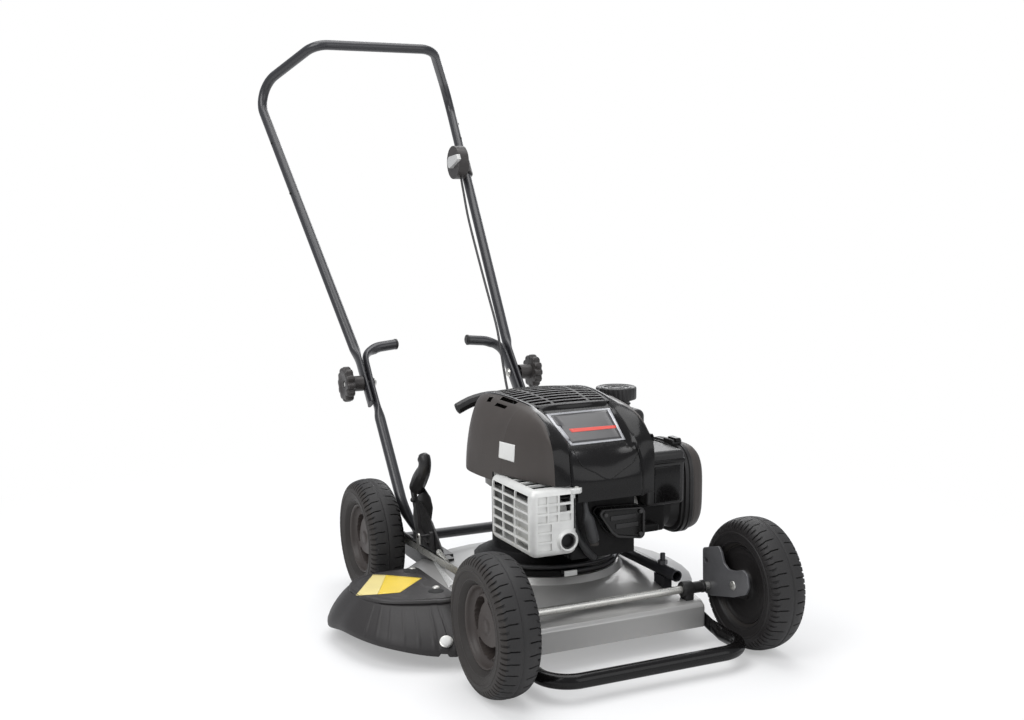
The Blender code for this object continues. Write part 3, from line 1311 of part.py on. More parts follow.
def build_blade(side_name, side):
    """A swing-back blade, hung on its pin with a loose hole."""
    half = BLADE_WIDTH / 2
    y = DECK_CENTRE_Y
    tip_x = math.sqrt(BLADE_TIP_RADIUS ** 2 - half ** 2)
    tail = BLADE_PIVOT_RADIUS - BLADE_TAIL
    points = [(tail, -half * 0.55), (tail + 0.007, -half), (tip_x, -half), (BLADE_TIP_RADIUS, 0.0),
              (tip_x, half), (tail + 0.007, half), (tail, half * 0.55)]
    outline = [(side * u, y + v) for u, v in points]
    hole = circle((side * BLADE_PIVOT_RADIUS, y), BLADE_PIN_RADIUS + GAP)
    cut_out("blade_" + side_name, [outline, hole], BLADE_THICKNESS,
            BLADE_BOTTOM + BLADE_THICKNESS / 2, "XY", BLADE_STEEL, "blade_" + side_name)


# Handles

def build_lower_handle(side_name, side):
    """A lower handle tube: flat foot, flat at the fold, and a hook at the top."""
    path = fillet((
        (FOOT_X, *LOWER_TOE), (FOOT_X, *LOWER_HEEL), LOWER_KNEE,
        (LOWER_FOLD_X, FOLD_Y, FOLD_Z), HOOK_CORNER, HOOK_END),
        (0.0, 0.030, 0.060, 0.0, HOOK_RADIUS, 0.0), 4)
    path = add_stations(path, 0.030)
    path = [(side * p.x, p.y, p.z) for p in path]
    piece = as_mesh(tube("lower_handle_" + side_name, path, TUBE_RADIUS, PAINT_BLACK))
    press_foot(piece, side)
    middle = Vector((side * LOWER_FOLD_X, FOLD_Y, FOLD_Z))
    run = (Vector((LOWER_FOLD_X, FOLD_Y, FOLD_Z)) - Vector(LOWER_KNEE)).normalized()
    direction = Vector((0.0, run.y, run.z)).normalized()
    flatten_zone(piece, side, LOWER_FOLD_X, middle, direction, FOLD_FLAT + 0.002,
                 FOLD_EASE)
    bore = rod("lower_bore_" + side_name, (side * 0.12, FOLD_Y, FOLD_Z), (side * 0.16, FOLD_Y, FOLD_Z),
               PIVOT_BOLT_RADIUS + GAP, sides=12)
    cut(piece, bore)


def add_stations(path, spacing):
    """Add points along the long straight runs of a path."""
    made = [path[0]]
    for a, b in zip(path, path[1:]):
        count = max(1, math.ceil((b - a).length / spacing))
        made += [a.lerp(b, k / count) for k in range(1, count + 1)]
    return made


def press_foot(piece, side):
    """Press a handle's foot flat where it bolts to its bracket."""
    share = FOOT_THICKNESS / (2 * TUBE_RADIUS)
    for vertex in piece.data.vertices:
        weight = min(1.0, max(0.0, (0.126 - vertex.co.z) / 0.028))
        centre = side * FOOT_X
        if vertex.co.z > 0.098:
            centre = side * (FOOT_X + (vertex.co.z - 0.098) * 0.30)
        vertex.co.x = centre + (vertex.co.x - centre) * (1.0 - weight * (1.0 - share))


def flatten_zone(piece, side, centre_x, middle, direction, full, ease):
    """Press a handle tube flat in X near the fold, keeping its middle on centre_x."""
    share = FLAT_THICKNESS / (2 * TUBE_RADIUS)
    base = axis_place(piece["body"])
    for vertex in piece.data.vertices:
        spot = vertex.co + base
        run = (spot - middle).dot(direction)
        if abs(spot.x) < 0.115 or abs(run) > full + ease:
            continue
        weight = 1.0 - min(1.0, max(0.0, (abs(run) - full) / ease))
        weight = weight * weight * (3 - 2 * weight)
        across = spot.x - side * centre_x
        line = middle + direction * run
        offset = Vector((0.0, spot.y - line.y, spot.z - line.z)) * (1.0 + 0.35 * weight)
        vertex.co.x = side * centre_x + across * (1.0 - weight * (1.0 - share)) - base.x
        vertex.co.y = line.y + offset.y - base.y
        vertex.co.z = line.z + offset.z - base.z


def upper_line():
    """Direction of the upper handle's long run, and its lower end."""
    fold = Vector((UPPER_FOLD_X, FOLD_Y, FOLD_Z))
    direction = (Vector(HANDLE_BEND) - fold).normalized()
    return fold, direction


def build_upper_handle():
    """The folding upper handle, one bent tube."""
    fold, direction = upper_line()
    flat = Vector((0.0, direction.y, direction.z)).normalized()
    flat_end = fold + flat * FOLD_FLAT
    tail = fold - flat * HANDLE_TAIL
    top = Vector(HANDLE_TOP)
    bend = Vector(HANDLE_BEND)
    round_start = flat_end + (bend - flat_end).normalized() * (FOLD_EASE + 0.004)
    path = fillet((tail, fold, flat_end, round_start, bend, top, Vector((0.0, top.y, top.z))),
                  (0.0, 0.0, 0.0, 0.0, BEND_RADIUS, TOP_RADIUS, 0.0), 5)
    path = add_stations(path[:4], 0.018) + path[4:]
    half = as_mesh(tube("upper_handle", path, TUBE_RADIUS, PAINT_BLACK, "upper_handle"))
    flatten_zone(half, 1.0, UPPER_FOLD_X, fold, flat, FOLD_FLAT, FOLD_EASE)
    mirror_half(half)
    for side_name, side in SIDES:
        bore = rod("upper_bore_" + side_name, (side * 0.14, FOLD_Y, FOLD_Z),
                   (side * 0.17, FOLD_Y, FOLD_Z), PIVOT_BOLT_RADIUS + GAP, body="upper_handle", sides=12)
        cut(half, bore)


def build_fold_clamp(side_name, side):
    """The bolt through both handle tubes and the knob that tightens it."""
    axis = "+X" if side > 0 else "-X"
    inner = LOWER_FOLD_X - FLAT_THICKNESS / 2 - GAP
    end = KNOB_OUTER_X - 0.004
    turned("fold_bolt_" + side_name, (
        (0.0, end), (PIVOT_BOLT_RADIUS, end), (PIVOT_BOLT_RADIUS, inner), (0.0090, inner),
        (0.0060, inner - 0.004), (0.0, inner - 0.005)), ZINC, (0.0, FOLD_Y, FOLD_Z), axis,
        sides=12)
    body = "knob_" + side_name
    lobes = []
    for k in range(KNOB_LOBES * 3):
        angle = 2 * math.pi * k / (KNOB_LOBES * 3)
        radius = KNOB_RADIUS - (0.0035 if k % 3 == 0 else 0.0)
        lobes.append((FOLD_Y + radius * math.cos(angle), FOLD_Z + radius * math.sin(angle)))
    knob = as_mesh(cut_out("knob_" + side_name, [lobes], KNOB_OUTER_X - KNOB_INNER_X,
                           side * (KNOB_INNER_X + KNOB_OUTER_X) / 2, "YZ", MATT_PLASTIC, body))
    seat = UPPER_FOLD_X + FLAT_THICKNESS / 2 + LOOSE
    neck = rod("knob_neck_" + side_name, (side * seat, FOLD_Y, FOLD_Z),
               (side * (KNOB_INNER_X + 0.002), FOLD_Y, FOLD_Z), KNOB_NECK_RADIUS, body=body, sides=16)
    bore = rod("knob_bore_" + side_name, (side * (seat - 0.005), FOLD_Y, FOLD_Z),
               (side * (end + LOOSE), FOLD_Y, FOLD_Z), PIVOT_BOLT_RADIUS + GAP, body=body, sides=12)
    unite(knob, neck)
    cut(knob, bore)


def handle_point(height):
    """The place on the user's left upper tube at a height."""
    fold, direction = upper_line()
    flat = Vector((0.0, direction.y, direction.z)).normalized()
    start = fold + flat * FOLD_FLAT
    run = (Vector(HANDLE_BEND) - start).normalized()
    return start + run * ((height - start.z) / run.z)


def build_throttle():
    """The control's housing clamped to the tube, its lever, and the cable to the engine."""
    centre = (THROTTLE_X, THROTTLE_Y, THROTTLE_Z)
    tube_middle = handle_point(THROTTLE_Z - 0.012)
    housing = rod("throttle_housing", (THROTTLE_X - THROTTLE_THICKNESS / 2, *centre[1:]),
                  (THROTTLE_X + THROTTLE_THICKNESS / 2, *centre[1:]), THROTTLE_RADIUS, MATT_PLASTIC,
                  "upper_handle", 24)
    direction = upper_line()[1]
    low = tube_middle - direction * 0.018
    high = tube_middle + direction * 0.018
    clamp = rod("throttle_clamp", low, high, TUBE_RADIUS + 0.0045, body="upper_handle", sides=16)
    bore = rod("throttle_bore", handle_point(low.z - 0.03), handle_point(high.z + 0.03),
               TUBE_RADIUS + LOOSE, body="upper_handle", sides=16)
    unite(housing, clamp)
    cut(housing, bore)
    build_throttle_lever()
    build_cable()


def build_throttle_lever():
    """A wedge-shaped thumb lever outside the housing."""
    y = THROTTLE_Y
    z = THROTTLE_Z
    level = THROTTLE_X - (THROTTLE_THICKNESS + THUMB_THICKNESS) / 2 - GAP
    points = [p for p in circle((y, z), THUMB_HUB, 16) if p[0] > y - 0.004]
    points += [(y - THUMB_REACH + 0.006, z + 0.016), (y - THUMB_REACH, z + 0.006)]
    points.sort(key=lambda p: math.atan2(p[1] - z - 0.003, p[0] - y + 0.012))
    cut_out("throttle_lever", [points], THUMB_THICKNESS, level, "YZ", ZINC, "throttle_lever")


CABLE_ROUTE = (
    (0.1675, 0.7507, 0.7082), (0.165, 0.731, 0.675), (0.159, 0.690, 0.617), (0.148, 0.592, 0.505),
    (0.135, 0.510, 0.430), (0.127, 0.475, 0.397), (0.123, 0.450, 0.355), (0.118, 0.420, 0.310),
    (0.112, 0.370, 0.255), (0.108, 0.290, 0.212), (0.106, 0.190, 0.192), (0.104, 0.110, 0.190),
    (0.1015, 0.060, 0.190), (0.094, 0.020, 0.190), (0.088, -0.020, 0.190), (0.084, -0.055, 0.194),
    (0.083, -0.0779, 0.198),
)


def build_cable():
    """The throttle cable, from the housing down to the engine."""
    route = smooth_route(CABLE_ROUTE, 0.022)
    tube("throttle_cable", route, CABLE_RADIUS, RUBBER, "upper_handle")


def centre_on_origin():
    """Move the whole mower so that the origin lies under the middle of its box."""
    bpy.context.view_layer.update()
    graph = bpy.context.evaluated_depsgraph_get()
    corners = []
    for piece in parts.objects:
        matrix = piece.matrix_world
        mesh = piece.evaluated_get(graph).to_mesh()
        corners += [matrix @ v.co for v in mesh.vertices]
        piece.evaluated_get(graph).to_mesh_clear()
    low = [min(c[i] for c in corners) for i in range(3)]
    high = [max(c[i] for c in corners) for i in range(3)]
    axes["root"].location = (-(low[0] + high[0]) / 2, -(low[1] + high[1]) / 2, -low[2])
    bpy.context.view_layer.update()


def build():
    """Build every piece."""
    build_deck()
    deck_room = deck_block("deck_room", GAP, 0.0)
    hide_tool(deck_room)
    build_bumper()
    build_chute(deck_room)
    build_rail(deck_room)
    build_height_adjuster(deck_room)
    for side_name, side in SIDES:
        build_rear_bracket(side_name, side, deck_room)
        build_front_bush(side_name, side, deck_room)
        build_lower_handle(side_name, side)
        build_fold_clamp(side_name, side)
        build_wheel("front", FRONT_WHEEL_Y, side_name, side)
        build_wheel("rear", REAR_WHEEL_Y, side_name, side)
    build_axles()
    build_block()
    build_exhaust()
    build_cowl()
    build_air_filter()
    build_fuel()
    build_ignition()
    build_starter()
    build_drive()
    build_upper_handle()
    build_throttle()
    centre_on_origin()


build()
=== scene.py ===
import math

import bmesh
import bpy
from mathutils import Matrix, Vector
from mathutils.bvhtree import BVHTree


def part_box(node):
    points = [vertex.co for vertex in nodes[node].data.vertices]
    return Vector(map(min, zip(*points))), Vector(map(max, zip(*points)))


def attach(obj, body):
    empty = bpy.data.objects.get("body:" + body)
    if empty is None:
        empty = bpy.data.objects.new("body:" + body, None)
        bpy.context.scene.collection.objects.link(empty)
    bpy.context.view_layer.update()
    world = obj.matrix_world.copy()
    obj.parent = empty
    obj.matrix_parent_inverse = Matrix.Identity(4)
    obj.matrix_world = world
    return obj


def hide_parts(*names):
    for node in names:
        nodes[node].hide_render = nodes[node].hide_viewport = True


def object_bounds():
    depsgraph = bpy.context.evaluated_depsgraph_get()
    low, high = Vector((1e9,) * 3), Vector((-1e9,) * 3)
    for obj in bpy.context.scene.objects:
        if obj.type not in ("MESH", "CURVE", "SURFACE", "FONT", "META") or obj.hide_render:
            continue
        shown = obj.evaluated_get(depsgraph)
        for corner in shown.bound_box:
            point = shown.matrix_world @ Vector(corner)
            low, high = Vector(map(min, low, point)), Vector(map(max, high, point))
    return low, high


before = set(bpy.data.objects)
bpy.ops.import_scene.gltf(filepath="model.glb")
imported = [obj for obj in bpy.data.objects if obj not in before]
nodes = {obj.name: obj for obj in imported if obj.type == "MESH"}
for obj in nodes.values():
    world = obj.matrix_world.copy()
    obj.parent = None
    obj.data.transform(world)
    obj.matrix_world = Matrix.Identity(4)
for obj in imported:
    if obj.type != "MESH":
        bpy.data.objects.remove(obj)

cad_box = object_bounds()

# The CAD's frame has its origin under the middle of the mower. The numbers below are measured
# from the ground midway between the wheels, so this is the step between the two.
wheel_low, wheel_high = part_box("tyre_front_left")
other_low, other_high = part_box("tyre_rear_right")
SHIFT = Vector((
    (wheel_low[0] + wheel_high[0] + other_low[0] + other_high[0]) / 4,
    (wheel_low[1] + wheel_high[1] + other_low[1] + other_high[1]) / 4,
    0.0,
))
LEFT = 1.0
RIGHT = -1.0
SIDES = (("left", LEFT), ("right", RIGHT))

# Camera, fitted to the photograph
PHOTO_WIDTH = 1024
PHOTO_HEIGHT = 720
FOCAL_PX = 1305.45
CENTRE_PX = (549.02, 435.56)
CAMERA_AT = Vector((-0.8872, -1.8136, 0.6780))
AZIMUTH = math.radians(-26.0664)
ELEVATION = math.radians(10.6042)
ROLL = math.radians(-0.4114)
SENSOR = 36.0

back = Vector((math.sin(AZIMUTH) * math.cos(ELEVATION), -math.cos(AZIMUTH) * math.cos(ELEVATION),
               math.sin(ELEVATION)))
level_right = Vector((math.cos(AZIMUTH), math.sin(AZIMUTH), 0.0))
level_up = back.cross(level_right)
right = level_right * math.cos(ROLL) + level_up * math.sin(ROLL)
up = level_up * math.cos(ROLL) - level_right * math.sin(ROLL)


def build_camera():
    """Set the scene's camera at the photograph's place and angle."""
    data = bpy.data.cameras.new("camera")
    data.sensor_width = SENSOR
    data.lens = SENSOR * FOCAL_PX / PHOTO_WIDTH
    data.shift_x = (PHOTO_WIDTH / 2 - CENTRE_PX[0]) / PHOTO_WIDTH
    data.shift_y = (CENTRE_PX[1] - PHOTO_HEIGHT / 2) / PHOTO_WIDTH
    camera = bpy.data.objects.new("camera", data)
    bpy.context.scene.collection.objects.link(camera)
    turn = Matrix((right, up, back)).transposed().to_4x4()
    camera.matrix_world = Matrix.Translation(CAMERA_AT + SHIFT) @ turn
    bpy.context.scene.camera = camera


def sight(px, py):
    """Direction from the camera through a pixel of the photograph."""
    ray = (px - CENTRE_PX[0]) / FOCAL_PX * right - (py - CENTRE_PX[1]) / FOCAL_PX * up - back
    return ray.normalized()


build_camera()
bpy.context.scene.view_settings.view_transform = "Standard"

# Shader nodes


def set_inputs(node, values):
    """Set a shader node's plain inputs by name."""
    for label, value in values.items():
        node.inputs[label].default_value = value


def add_node(tree, kind, values=None):
    """A new shader node with its plain inputs set."""
    made = tree.nodes.new("ShaderNode" + kind)
    set_inputs(made, values or {})
    return made


def link(tree, *joints):
    """Join nodes, each joint a node and its output, then a node and its input."""
    for source, out, target, into in joints:
        tree.links.new(source.outputs[out], target.inputs[into])


# Materials


def srgb(red, green, blue):
    """A linear colour from display values out of 255."""
    out = []
    for value in (red, green, blue):
        share = value / 255
        out.append(share / 12.92 if share <= 0.04045 else ((share + 0.055) / 1.055) ** 2.4)
    return (*out, 1.0)


def skin(name, display, rough, metallic=0.0, vary=0.12, grain=400.0, bump=0.15, depth=0.0002,
         patch=18.0, rough_vary=0.08, coat=0.0, specular=0.5):
    """A procedural surface: broad patches of tone, fine grain in bump and in roughness."""
    made = bpy.data.materials.new(name)
    made.use_nodes = True
    colour = srgb(*display)
    made.diffuse_color = colour
    tree = made.node_tree
    shader = tree.nodes["Principled BSDF"]
    set_inputs(shader, {"Metallic": metallic, "Specular IOR Level": specular, "Coat Weight": coat,
                        "Coat Roughness": 0.12})
    place = add_node(tree, "TexCoord")
    broad = add_node(tree, "TexNoise", {"Scale": patch, "Detail": 4.0})
    fine = add_node(tree, "TexNoise", {"Scale": grain, "Detail": 3.0})
    ramp = add_node(tree, "ValToRGB")
    stops = ramp.color_ramp.elements
    for stop, position, change in ((stops[0], 0.3, 1 - vary), (stops[1], 0.7, 1 + vary)):
        stop.position = position
        stop.color = (*[min(1.0, value * change) for value in colour[:3]], 1.0)
    spread = add_node(tree, "MapRange", {"From Min": 0.3, "From Max": 0.7,
                                         "To Min": max(0.03, rough - rough_vary),
                                         "To Max": min(1.0, rough + rough_vary)})
    relief = add_node(tree, "Bump", {"Strength": bump, "Distance": depth})
    link(tree, (place, "Object", broad, "Vector"), (place, "Object", fine, "Vector"),
         (broad, "Fac", ramp, "Fac"), (ramp, "Color", shader, "Base Color"),
         (fine, "Fac", spread, "Value"), (spread, "Result", shader, "Roughness"),
         (fine, "Fac", relief, "Height"), (relief, "Normal", shader, "Normal"))
    return made


# Each look: the material's name, its display colour, roughness and metallic share, how far its
# tone varies, the grain's scale, strength and depth, the patches' scale, how far the roughness
# varies, the coat and the specular level.
SKIN_ROWS = {
    "deck": ("deck_paint", (164, 163, 161), 0.38, 0.35, 0.05, 900, 0.25, 0.00012, 9, 0.07, 0.25),
    "tube": ("tube_paint", (38, 38, 41), 0.34, 0.0, 0.08, 700, 0.12, 0.0001, 12, 0.06, 0.2),
    "zinc": ("zinc_plate", (196, 195, 190), 0.33, 0.85, 0.08, 600, 0.15, 0.0001, 40, 0.09),
    "steel": ("raw_steel", (128, 129, 131), 0.40, 0.8, 0.10, 500, 0.2, 0.0001, 30, 0.1),
    "plate": ("crank_steel", (112, 112, 114), 0.42, 0.55, 0.10, 500, 0.2, 0.0001, 30, 0.08),
    "dark": ("dark_steel", (52, 51, 51), 0.42, 0.3, 0.12, 500, 0.2, 0.0001, 25, 0.1),
    "guard": ("cast_guard", (214, 214, 211), 0.48, 0.25, 0.06, 420, 0.35, 0.0002, 60, 0.08),
    # The silencer can's coating, set a little darker than its own tone as painted shade seen through the
    # guard's pads and slots.
    "can": ("can_coating", (188, 188, 184), 0.6, 0.1, 0.1, 420, 0.3, 0.0002, 60),
    "alloy": ("cast_alloy", (150, 149, 146), 0.5, 0.5, 0.1, 420, 0.4, 0.0003, 60, 0.1),
    "block": ("black_alloy", (15, 14, 14), 0.55, 0.0, 0.15, 420, 0.45, 0.0003, 50, 0.1, 0.0, 0.2),
    "gloss": ("gloss_moulding", (14, 13, 13), 0.24, 0.0, 0.05, 260, 0.04, 0.0001, 14, 0.05, 0.20, 0.15),
    "grille": ("grille_moulding", (44, 43, 43), 0.55, 0.0, 0.06, 900, 0.3, 0.0001, 20, 0.05, 0.0, 0.3),
    "matt": ("matt_moulding", (62, 57, 54), 0.50, 0.0, 0.06, 1500, 0.35, 0.00012, 20, 0.06, 0.0, 0.35),
    "black": ("black_moulding", (32, 31, 31), 0.42, 0.0, 0.08, 1200, 0.3, 0.00012, 20, 0.08, 0.0, 0.4),
    "cover": ("cover_moulding", (54, 51, 50), 0.44, 0.0, 0.06, 1300, 0.35, 0.00014, 20, 0.06, 0.0, 0.4),
    "chute": ("chute_moulding", (43, 41, 41), 0.52, 0.0, 0.08, 1300, 0.45, 0.00016, 15, 0.08, 0.0, 0.35),
    "rubber": ("tyre_rubber", (50, 47, 45), 0.62, 0.0, 0.10, 900, 0.4, 0.0002, 22, 0.1, 0.0, 0.3),
    "tread": ("tread_rubber", (40, 39, 39), 0.60, 0.0, 0.10, 900, 0.4, 0.0002, 22, 0.1, 0.0, 0.35),
    # The inner sides of the tyres and rims take this darker rubber tone: painted shade on the side that
    # faces the mower.
    "inner": ("inner_rubber", (33, 31, 31), 0.55, 0.0, 0.08, 900, 0.35, 0.00015, 22, 0.08, 0.0, 0.35),
    "rim": ("rim_moulding", (60, 54, 51), 0.46, 0.0, 0.07, 1100, 0.35, 0.00014, 18, 0.07, 0.0, 0.4),
    "hose": ("cable_sheath", (40, 40, 41), 0.5, 0.0, 0.08, 900, 0.2, 0.0001, 20, 0.06),
    "foam": ("filter_foam", (88, 86, 84), 0.9, 0.0, 0.2, 1400, 0.9, 0.0006, 90, 0.05),
    "cord": ("starter_rope", (190, 188, 180), 0.8, 0.0, 0.15, 1800, 0.7, 0.0004, 200, 0.08),
    "ceramic": ("plug_ceramic", (226, 224, 216), 0.25, 0.0, 0.04, 300, 0.03, 0.0001, 20, 0.05),
    "hollow": ("deep_shadow", (14, 14, 14), 0.75, 0.0, 0.1, 400, 0.1, 0.0001, 20, 0.05),
    "silver": ("silver_moulding", (206, 206, 204), 0.3, 0.35, 0.05, 700, 0.1, 0.0001, 30, 0.06),
    "yellow": ("yellow_film", (226, 196, 62), 0.4, 0.0, 0.05, 900, 0.06, 0.0001, 30, 0.05),
    "pale_yellow": ("pale_yellow_film", (222, 206, 138), 0.4, 0.0, 0.05, 900, 0.06, 0.0001, 30, 0.05),
    "red": ("red_film", (206, 66, 54), 0.42, 0.0, 0.03, 900, 0.05, 0.0001, 30, 0.05),
    "white": ("white_film", (214, 214, 211), 0.42, 0.0, 0.03, 900, 0.05, 0.0001, 30, 0.05),
    "panel": ("grey_film", (58, 57, 58), 0.34, 0.0, 0.05, 900, 0.06, 0.0001, 20, 0.05, 0.2),
    "trim": ("grey_trim", (176, 177, 180), 0.3, 0.2, 0.05, 900, 0.05, 0.0001, 20, 0.05),
}
SKINS = {look: skin(*row) for look, row in SKIN_ROWS.items()}

# Helpers for pieces, whose points are in the measured numbers

# Points nearer than these are one, in a new piece and in a solid
SAME_PLACE = 0.00001
WELD = 0.00002
# A film's thickness as a multiple of its lift, so that it reaches into the surface
FILM_DEPTH = 1.2
# About how far the mower is from the camera
SIGHT_RUN = 2.0


def add_piece(name, mesh, look, body, stands_for=()):
    """Put a mesh or curve in the scene, on a body of the mower."""
    piece = bpy.data.objects.new(name, mesh)
    bpy.context.scene.collection.objects.link(piece)
    piece.location = SHIFT
    mesh.materials.append(SKINS[look])
    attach(piece, body)
    if stands_for:
        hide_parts(*stands_for)
    return piece


def mesh_piece(name, points, faces, look, body, stands_for=(), sharp=38.0):
    """A mesh piece with smooth faces and sharp edges above an angle."""
    mesh = bpy.data.meshes.new(name)
    mesh.from_pydata([tuple(p) for p in points], [], faces)
    mesh.validate()
    settle(mesh)
    smooth(mesh, sharp)
    return add_piece(name, mesh, look, body, stands_for)


def baked(name, bm):
    """A mesh from a working one, which is let go."""
    mesh = bpy.data.meshes.new(name)
    bm.to_mesh(mesh)
    bm.free()
    return mesh


def settle(mesh):
    """Merge doubles and make every face look outwards."""
    bm = bmesh.new()
    bm.from_mesh(mesh)
    bmesh.ops.remove_doubles(bm, verts=bm.verts, dist=SAME_PLACE)
    bmesh.ops.recalc_face_normals(bm, faces=bm.faces)
    bm.to_mesh(mesh)
    bm.free()


def smooth(mesh, sharp=38.0):
    """Smooth shading, except across edges sharper than an angle."""
    mesh.polygons.foreach_set("use_smooth", [True] * len(mesh.polygons))
    mesh.set_sharp_from_angle(angle=math.radians(sharp))


def ease_edges(piece, width, angle):
    """Bevel a piece's edges that are sharper than an angle."""
    ease = piece.modifiers.new("eased edges", "BEVEL")
    ease.width = width
    ease.segments = 2
    ease.limit_method = "ANGLE"
    ease.angle_limit = math.radians(angle)
    ease.harden_normals = True
    return ease


def thicken(piece, thickness, offset):
    """Give a piece's skin a wall, on the side that the offset tells."""
    wall = piece.modifiers.new("wall", "SOLIDIFY")
    wall.thickness = thickness
    wall.offset = offset
    return wall


def quads(rows, cols, loop_rows=False, loop_cols=True):
    """Faces of a grid of points, row by row."""
    faces = []
    for r in range(rows if loop_rows else rows - 1):
        for c in range(cols if loop_cols else cols - 1):
            r2 = (r + 1) % rows
            c2 = (c + 1) % cols
            faces.append((r * cols + c, r * cols + c2, r2 * cols + c2, r2 * cols + c))
    return faces


def capped(rows, cols):
    """Faces of a tube of points, with its two ends closed."""
    count = rows * cols
    return [*quads(rows, cols), tuple(range(cols)),
            tuple(range(count - 1, count - cols - 1, -1))]


def around(sides):
    """Angles that go once round a circle."""
    return [2 * math.pi * k / sides for k in range(sides)]


def lathe(name, profile, look, body, at, axis="X", sides=96, loop=False, stands_for=()):
    """A turned piece from (radius, height) points, about a line through a place."""
    order = {"X": (2, 0, 1), "Y": (1, 2, 0), "Z": (0, 1, 2)}[axis]
    points = []
    for radius, height in profile:
        for a in around(sides):
            local = (radius * math.cos(a), radius * math.sin(a), height)
            points.append(Vector(at) + Vector([local[k] for k in order]))
    return mesh_piece(name, points, quads(len(profile), sides, loop_rows=loop), look, body,
                      stands_for, 30)


def tube(name, points, radius, look, body, stands_for=(), resolution=6, radii=None):
    """A round tube along points."""
    curve = bpy.data.curves.new(name, "CURVE")
    curve.dimensions = "3D"
    curve.bevel_depth = radius
    curve.bevel_resolution = resolution
    curve.use_fill_caps = True
    line = curve.splines.new("POLY")
    line.points.add(len(points) - 1)
    for number, target in enumerate(points):
        line.points[number].co = (*target, 1.0)
        line.points[number].radius = radii[number] if radii else 1.0
    line.use_smooth = True
    return add_piece(name, curve, look, body, stands_for)


def between(a, b, c, d, t):
    """The place at a share of the way from b to c, on a smooth line through four places."""
    return 0.5 * (2 * b + (c - a) * t + (2 * a - 5 * b + 4 * c - d) * t * t
                  + (3 * b - a - 3 * c + d) * t * t * t)


def spline(points, spacing):
    """A smooth line through points, at about an even spacing."""
    anchors = [Vector(p) for p in points]
    run = [anchors[0] * 2 - anchors[1], *anchors, anchors[-1] * 2 - anchors[-2]]
    made = []
    for four in zip(run, run[1:], run[2:], run[3:]):
        steps = max(1, round((four[2] - four[1]).length / spacing))
        made += [between(*four, k / steps) for k in range(steps)]
    return [*made, anchors[-1]]


def fillet(points, radii, steps=8):
    """Round the corners of a path, each by its own radius."""
    made = []
    corners = [Vector(p) for p in points]
    for number, corner in enumerate(corners):
        radius = radii[number]
        if radius <= 0 or number in (0, len(corners) - 1):
            made.append(corner)
            continue
        first = (corners[number - 1] - corner).normalized()
        last = (corners[number + 1] - corner).normalized()
        half = first.angle(last) / 2
        reach = radius / math.tan(half)
        middle = corner + (first + last).normalized() * radius / math.sin(half)
        start = corner + first * reach - middle
        end = corner + last * reach - middle
        swing = start.angle(end)
        for k in range(steps + 1):
            t = k / steps
            made.append(middle + (start * math.sin((1 - t) * swing) + end * math.sin(t * swing))
                        / math.sin(swing))
    return made


def stations(path, spacing):
    """Add points along the straight runs of a path."""
    made = [path[0]]
    for a, b in zip(path, path[1:]):
        count = max(1, math.ceil((b - a).length / spacing))
        made += [a.lerp(b, k / count) for k in range(1, count + 1)]
    return made


def mirrored(points):
    """Points on the mower's other side."""
    return [Vector((-p.x, p.y, p.z)) for p in points]


def rounded_block(name, low, high, edge, segments=6):
    """A mesh of a block with rounded edges."""
    size = Vector(high) - Vector(low)
    bm = bmesh.new()
    bmesh.ops.create_cube(bm, size=1.0, matrix=Matrix.Diagonal((*size, 1.0)))
    bmesh.ops.bevel(bm, geom=bm.edges[:], offset=edge, segments=segments, profile=0.5,
                    affect="EDGES", clamp_overlap=True)
    bmesh.ops.translate(bm, vec=(Vector(low) + Vector(high)) / 2, verts=bm.verts)
    mesh = baked(name, bm)
    smooth(mesh)
    return mesh


def soft_box(name, low, high, look, body, edge, segments=3):
    """A block with rounded edges, as a piece."""
    return add_piece(name, rounded_block(name, low, high, edge, segments), look, body)


PLANES = {
    "XY": ((0, 0, 1), Matrix.Identity(4)),
    "YZ": ((1, 0, 0), Matrix(((0, 0, 1, 0), (1, 0, 0, 0), (0, 1, 0, 0), (0, 0, 0, 1)))),
    "XZ": ((0, 1, 0), Matrix(((1, 0, 0, 0), (0, 0, -1, 0), (0, 1, 0, 0), (0, 0, 0, 1)))),
}


def plate(name, outline, thickness, level, plane, look, body, edge, stands_for=(), holes=()):
    """A flat plate from an outline, with eased edges, at a level of one of the three planes."""
    curve = bpy.data.curves.new(name, "CURVE")
    curve.dimensions = "2D"
    curve.fill_mode = "BOTH"
    curve.extrude = thickness / 2 - edge
    curve.bevel_depth = edge
    curve.bevel_resolution = 2
    curve.offset = -edge
    for loop in (outline, *holes):
        line = curve.splines.new("POLY")
        line.points.add(len(loop) - 1)
        for point, (u, v) in zip(line.points, loop):
            point.co = (u, v, 0.0, 1.0)
        line.use_cyclic_u = True
    shape = bpy.data.objects.new(name + "_outline", curve)
    mesh = bpy.data.meshes.new_from_object(shape)
    bpy.data.objects.remove(shape)
    across, turn = PLANES[plane]
    mesh.transform(Matrix.Translation(Vector(across) * level) @ turn)
    settle(mesh)
    smooth(mesh)
    mesh.materials.clear()
    return add_piece(name, mesh, look, body, stands_for)


def ring(centre, radius, sides):
    """Points on a circle in a plane."""
    return [(centre[0] + radius * math.cos(a), centre[1] + radius * math.sin(a))
            for a in around(sides)]


def rounded(points, radius, steps=5):
    """Round every corner of a closed flat outline."""
    loop = [Vector((*p, 0.0)) for p in points]
    made = []
    for number, corner in enumerate(loop):
        first = loop[number - 1] - corner
        last = loop[(number + 1) % len(loop)] - corner
        half = first.angle(last) / 2
        own = min(radius, 0.45 * min(first.length, last.length) * math.tan(half))
        turn = fillet((corner + first, corner, corner + last), (0, own, 0), steps)
        made += [(p.x, p.y) for p in turn[1:-1]]
    return made


def share_between(low, high, value):
    """How far a value is from one limit to the other, from 0 to 1."""
    return min(1.0, max(0.0, (value - low) / (high - low)))


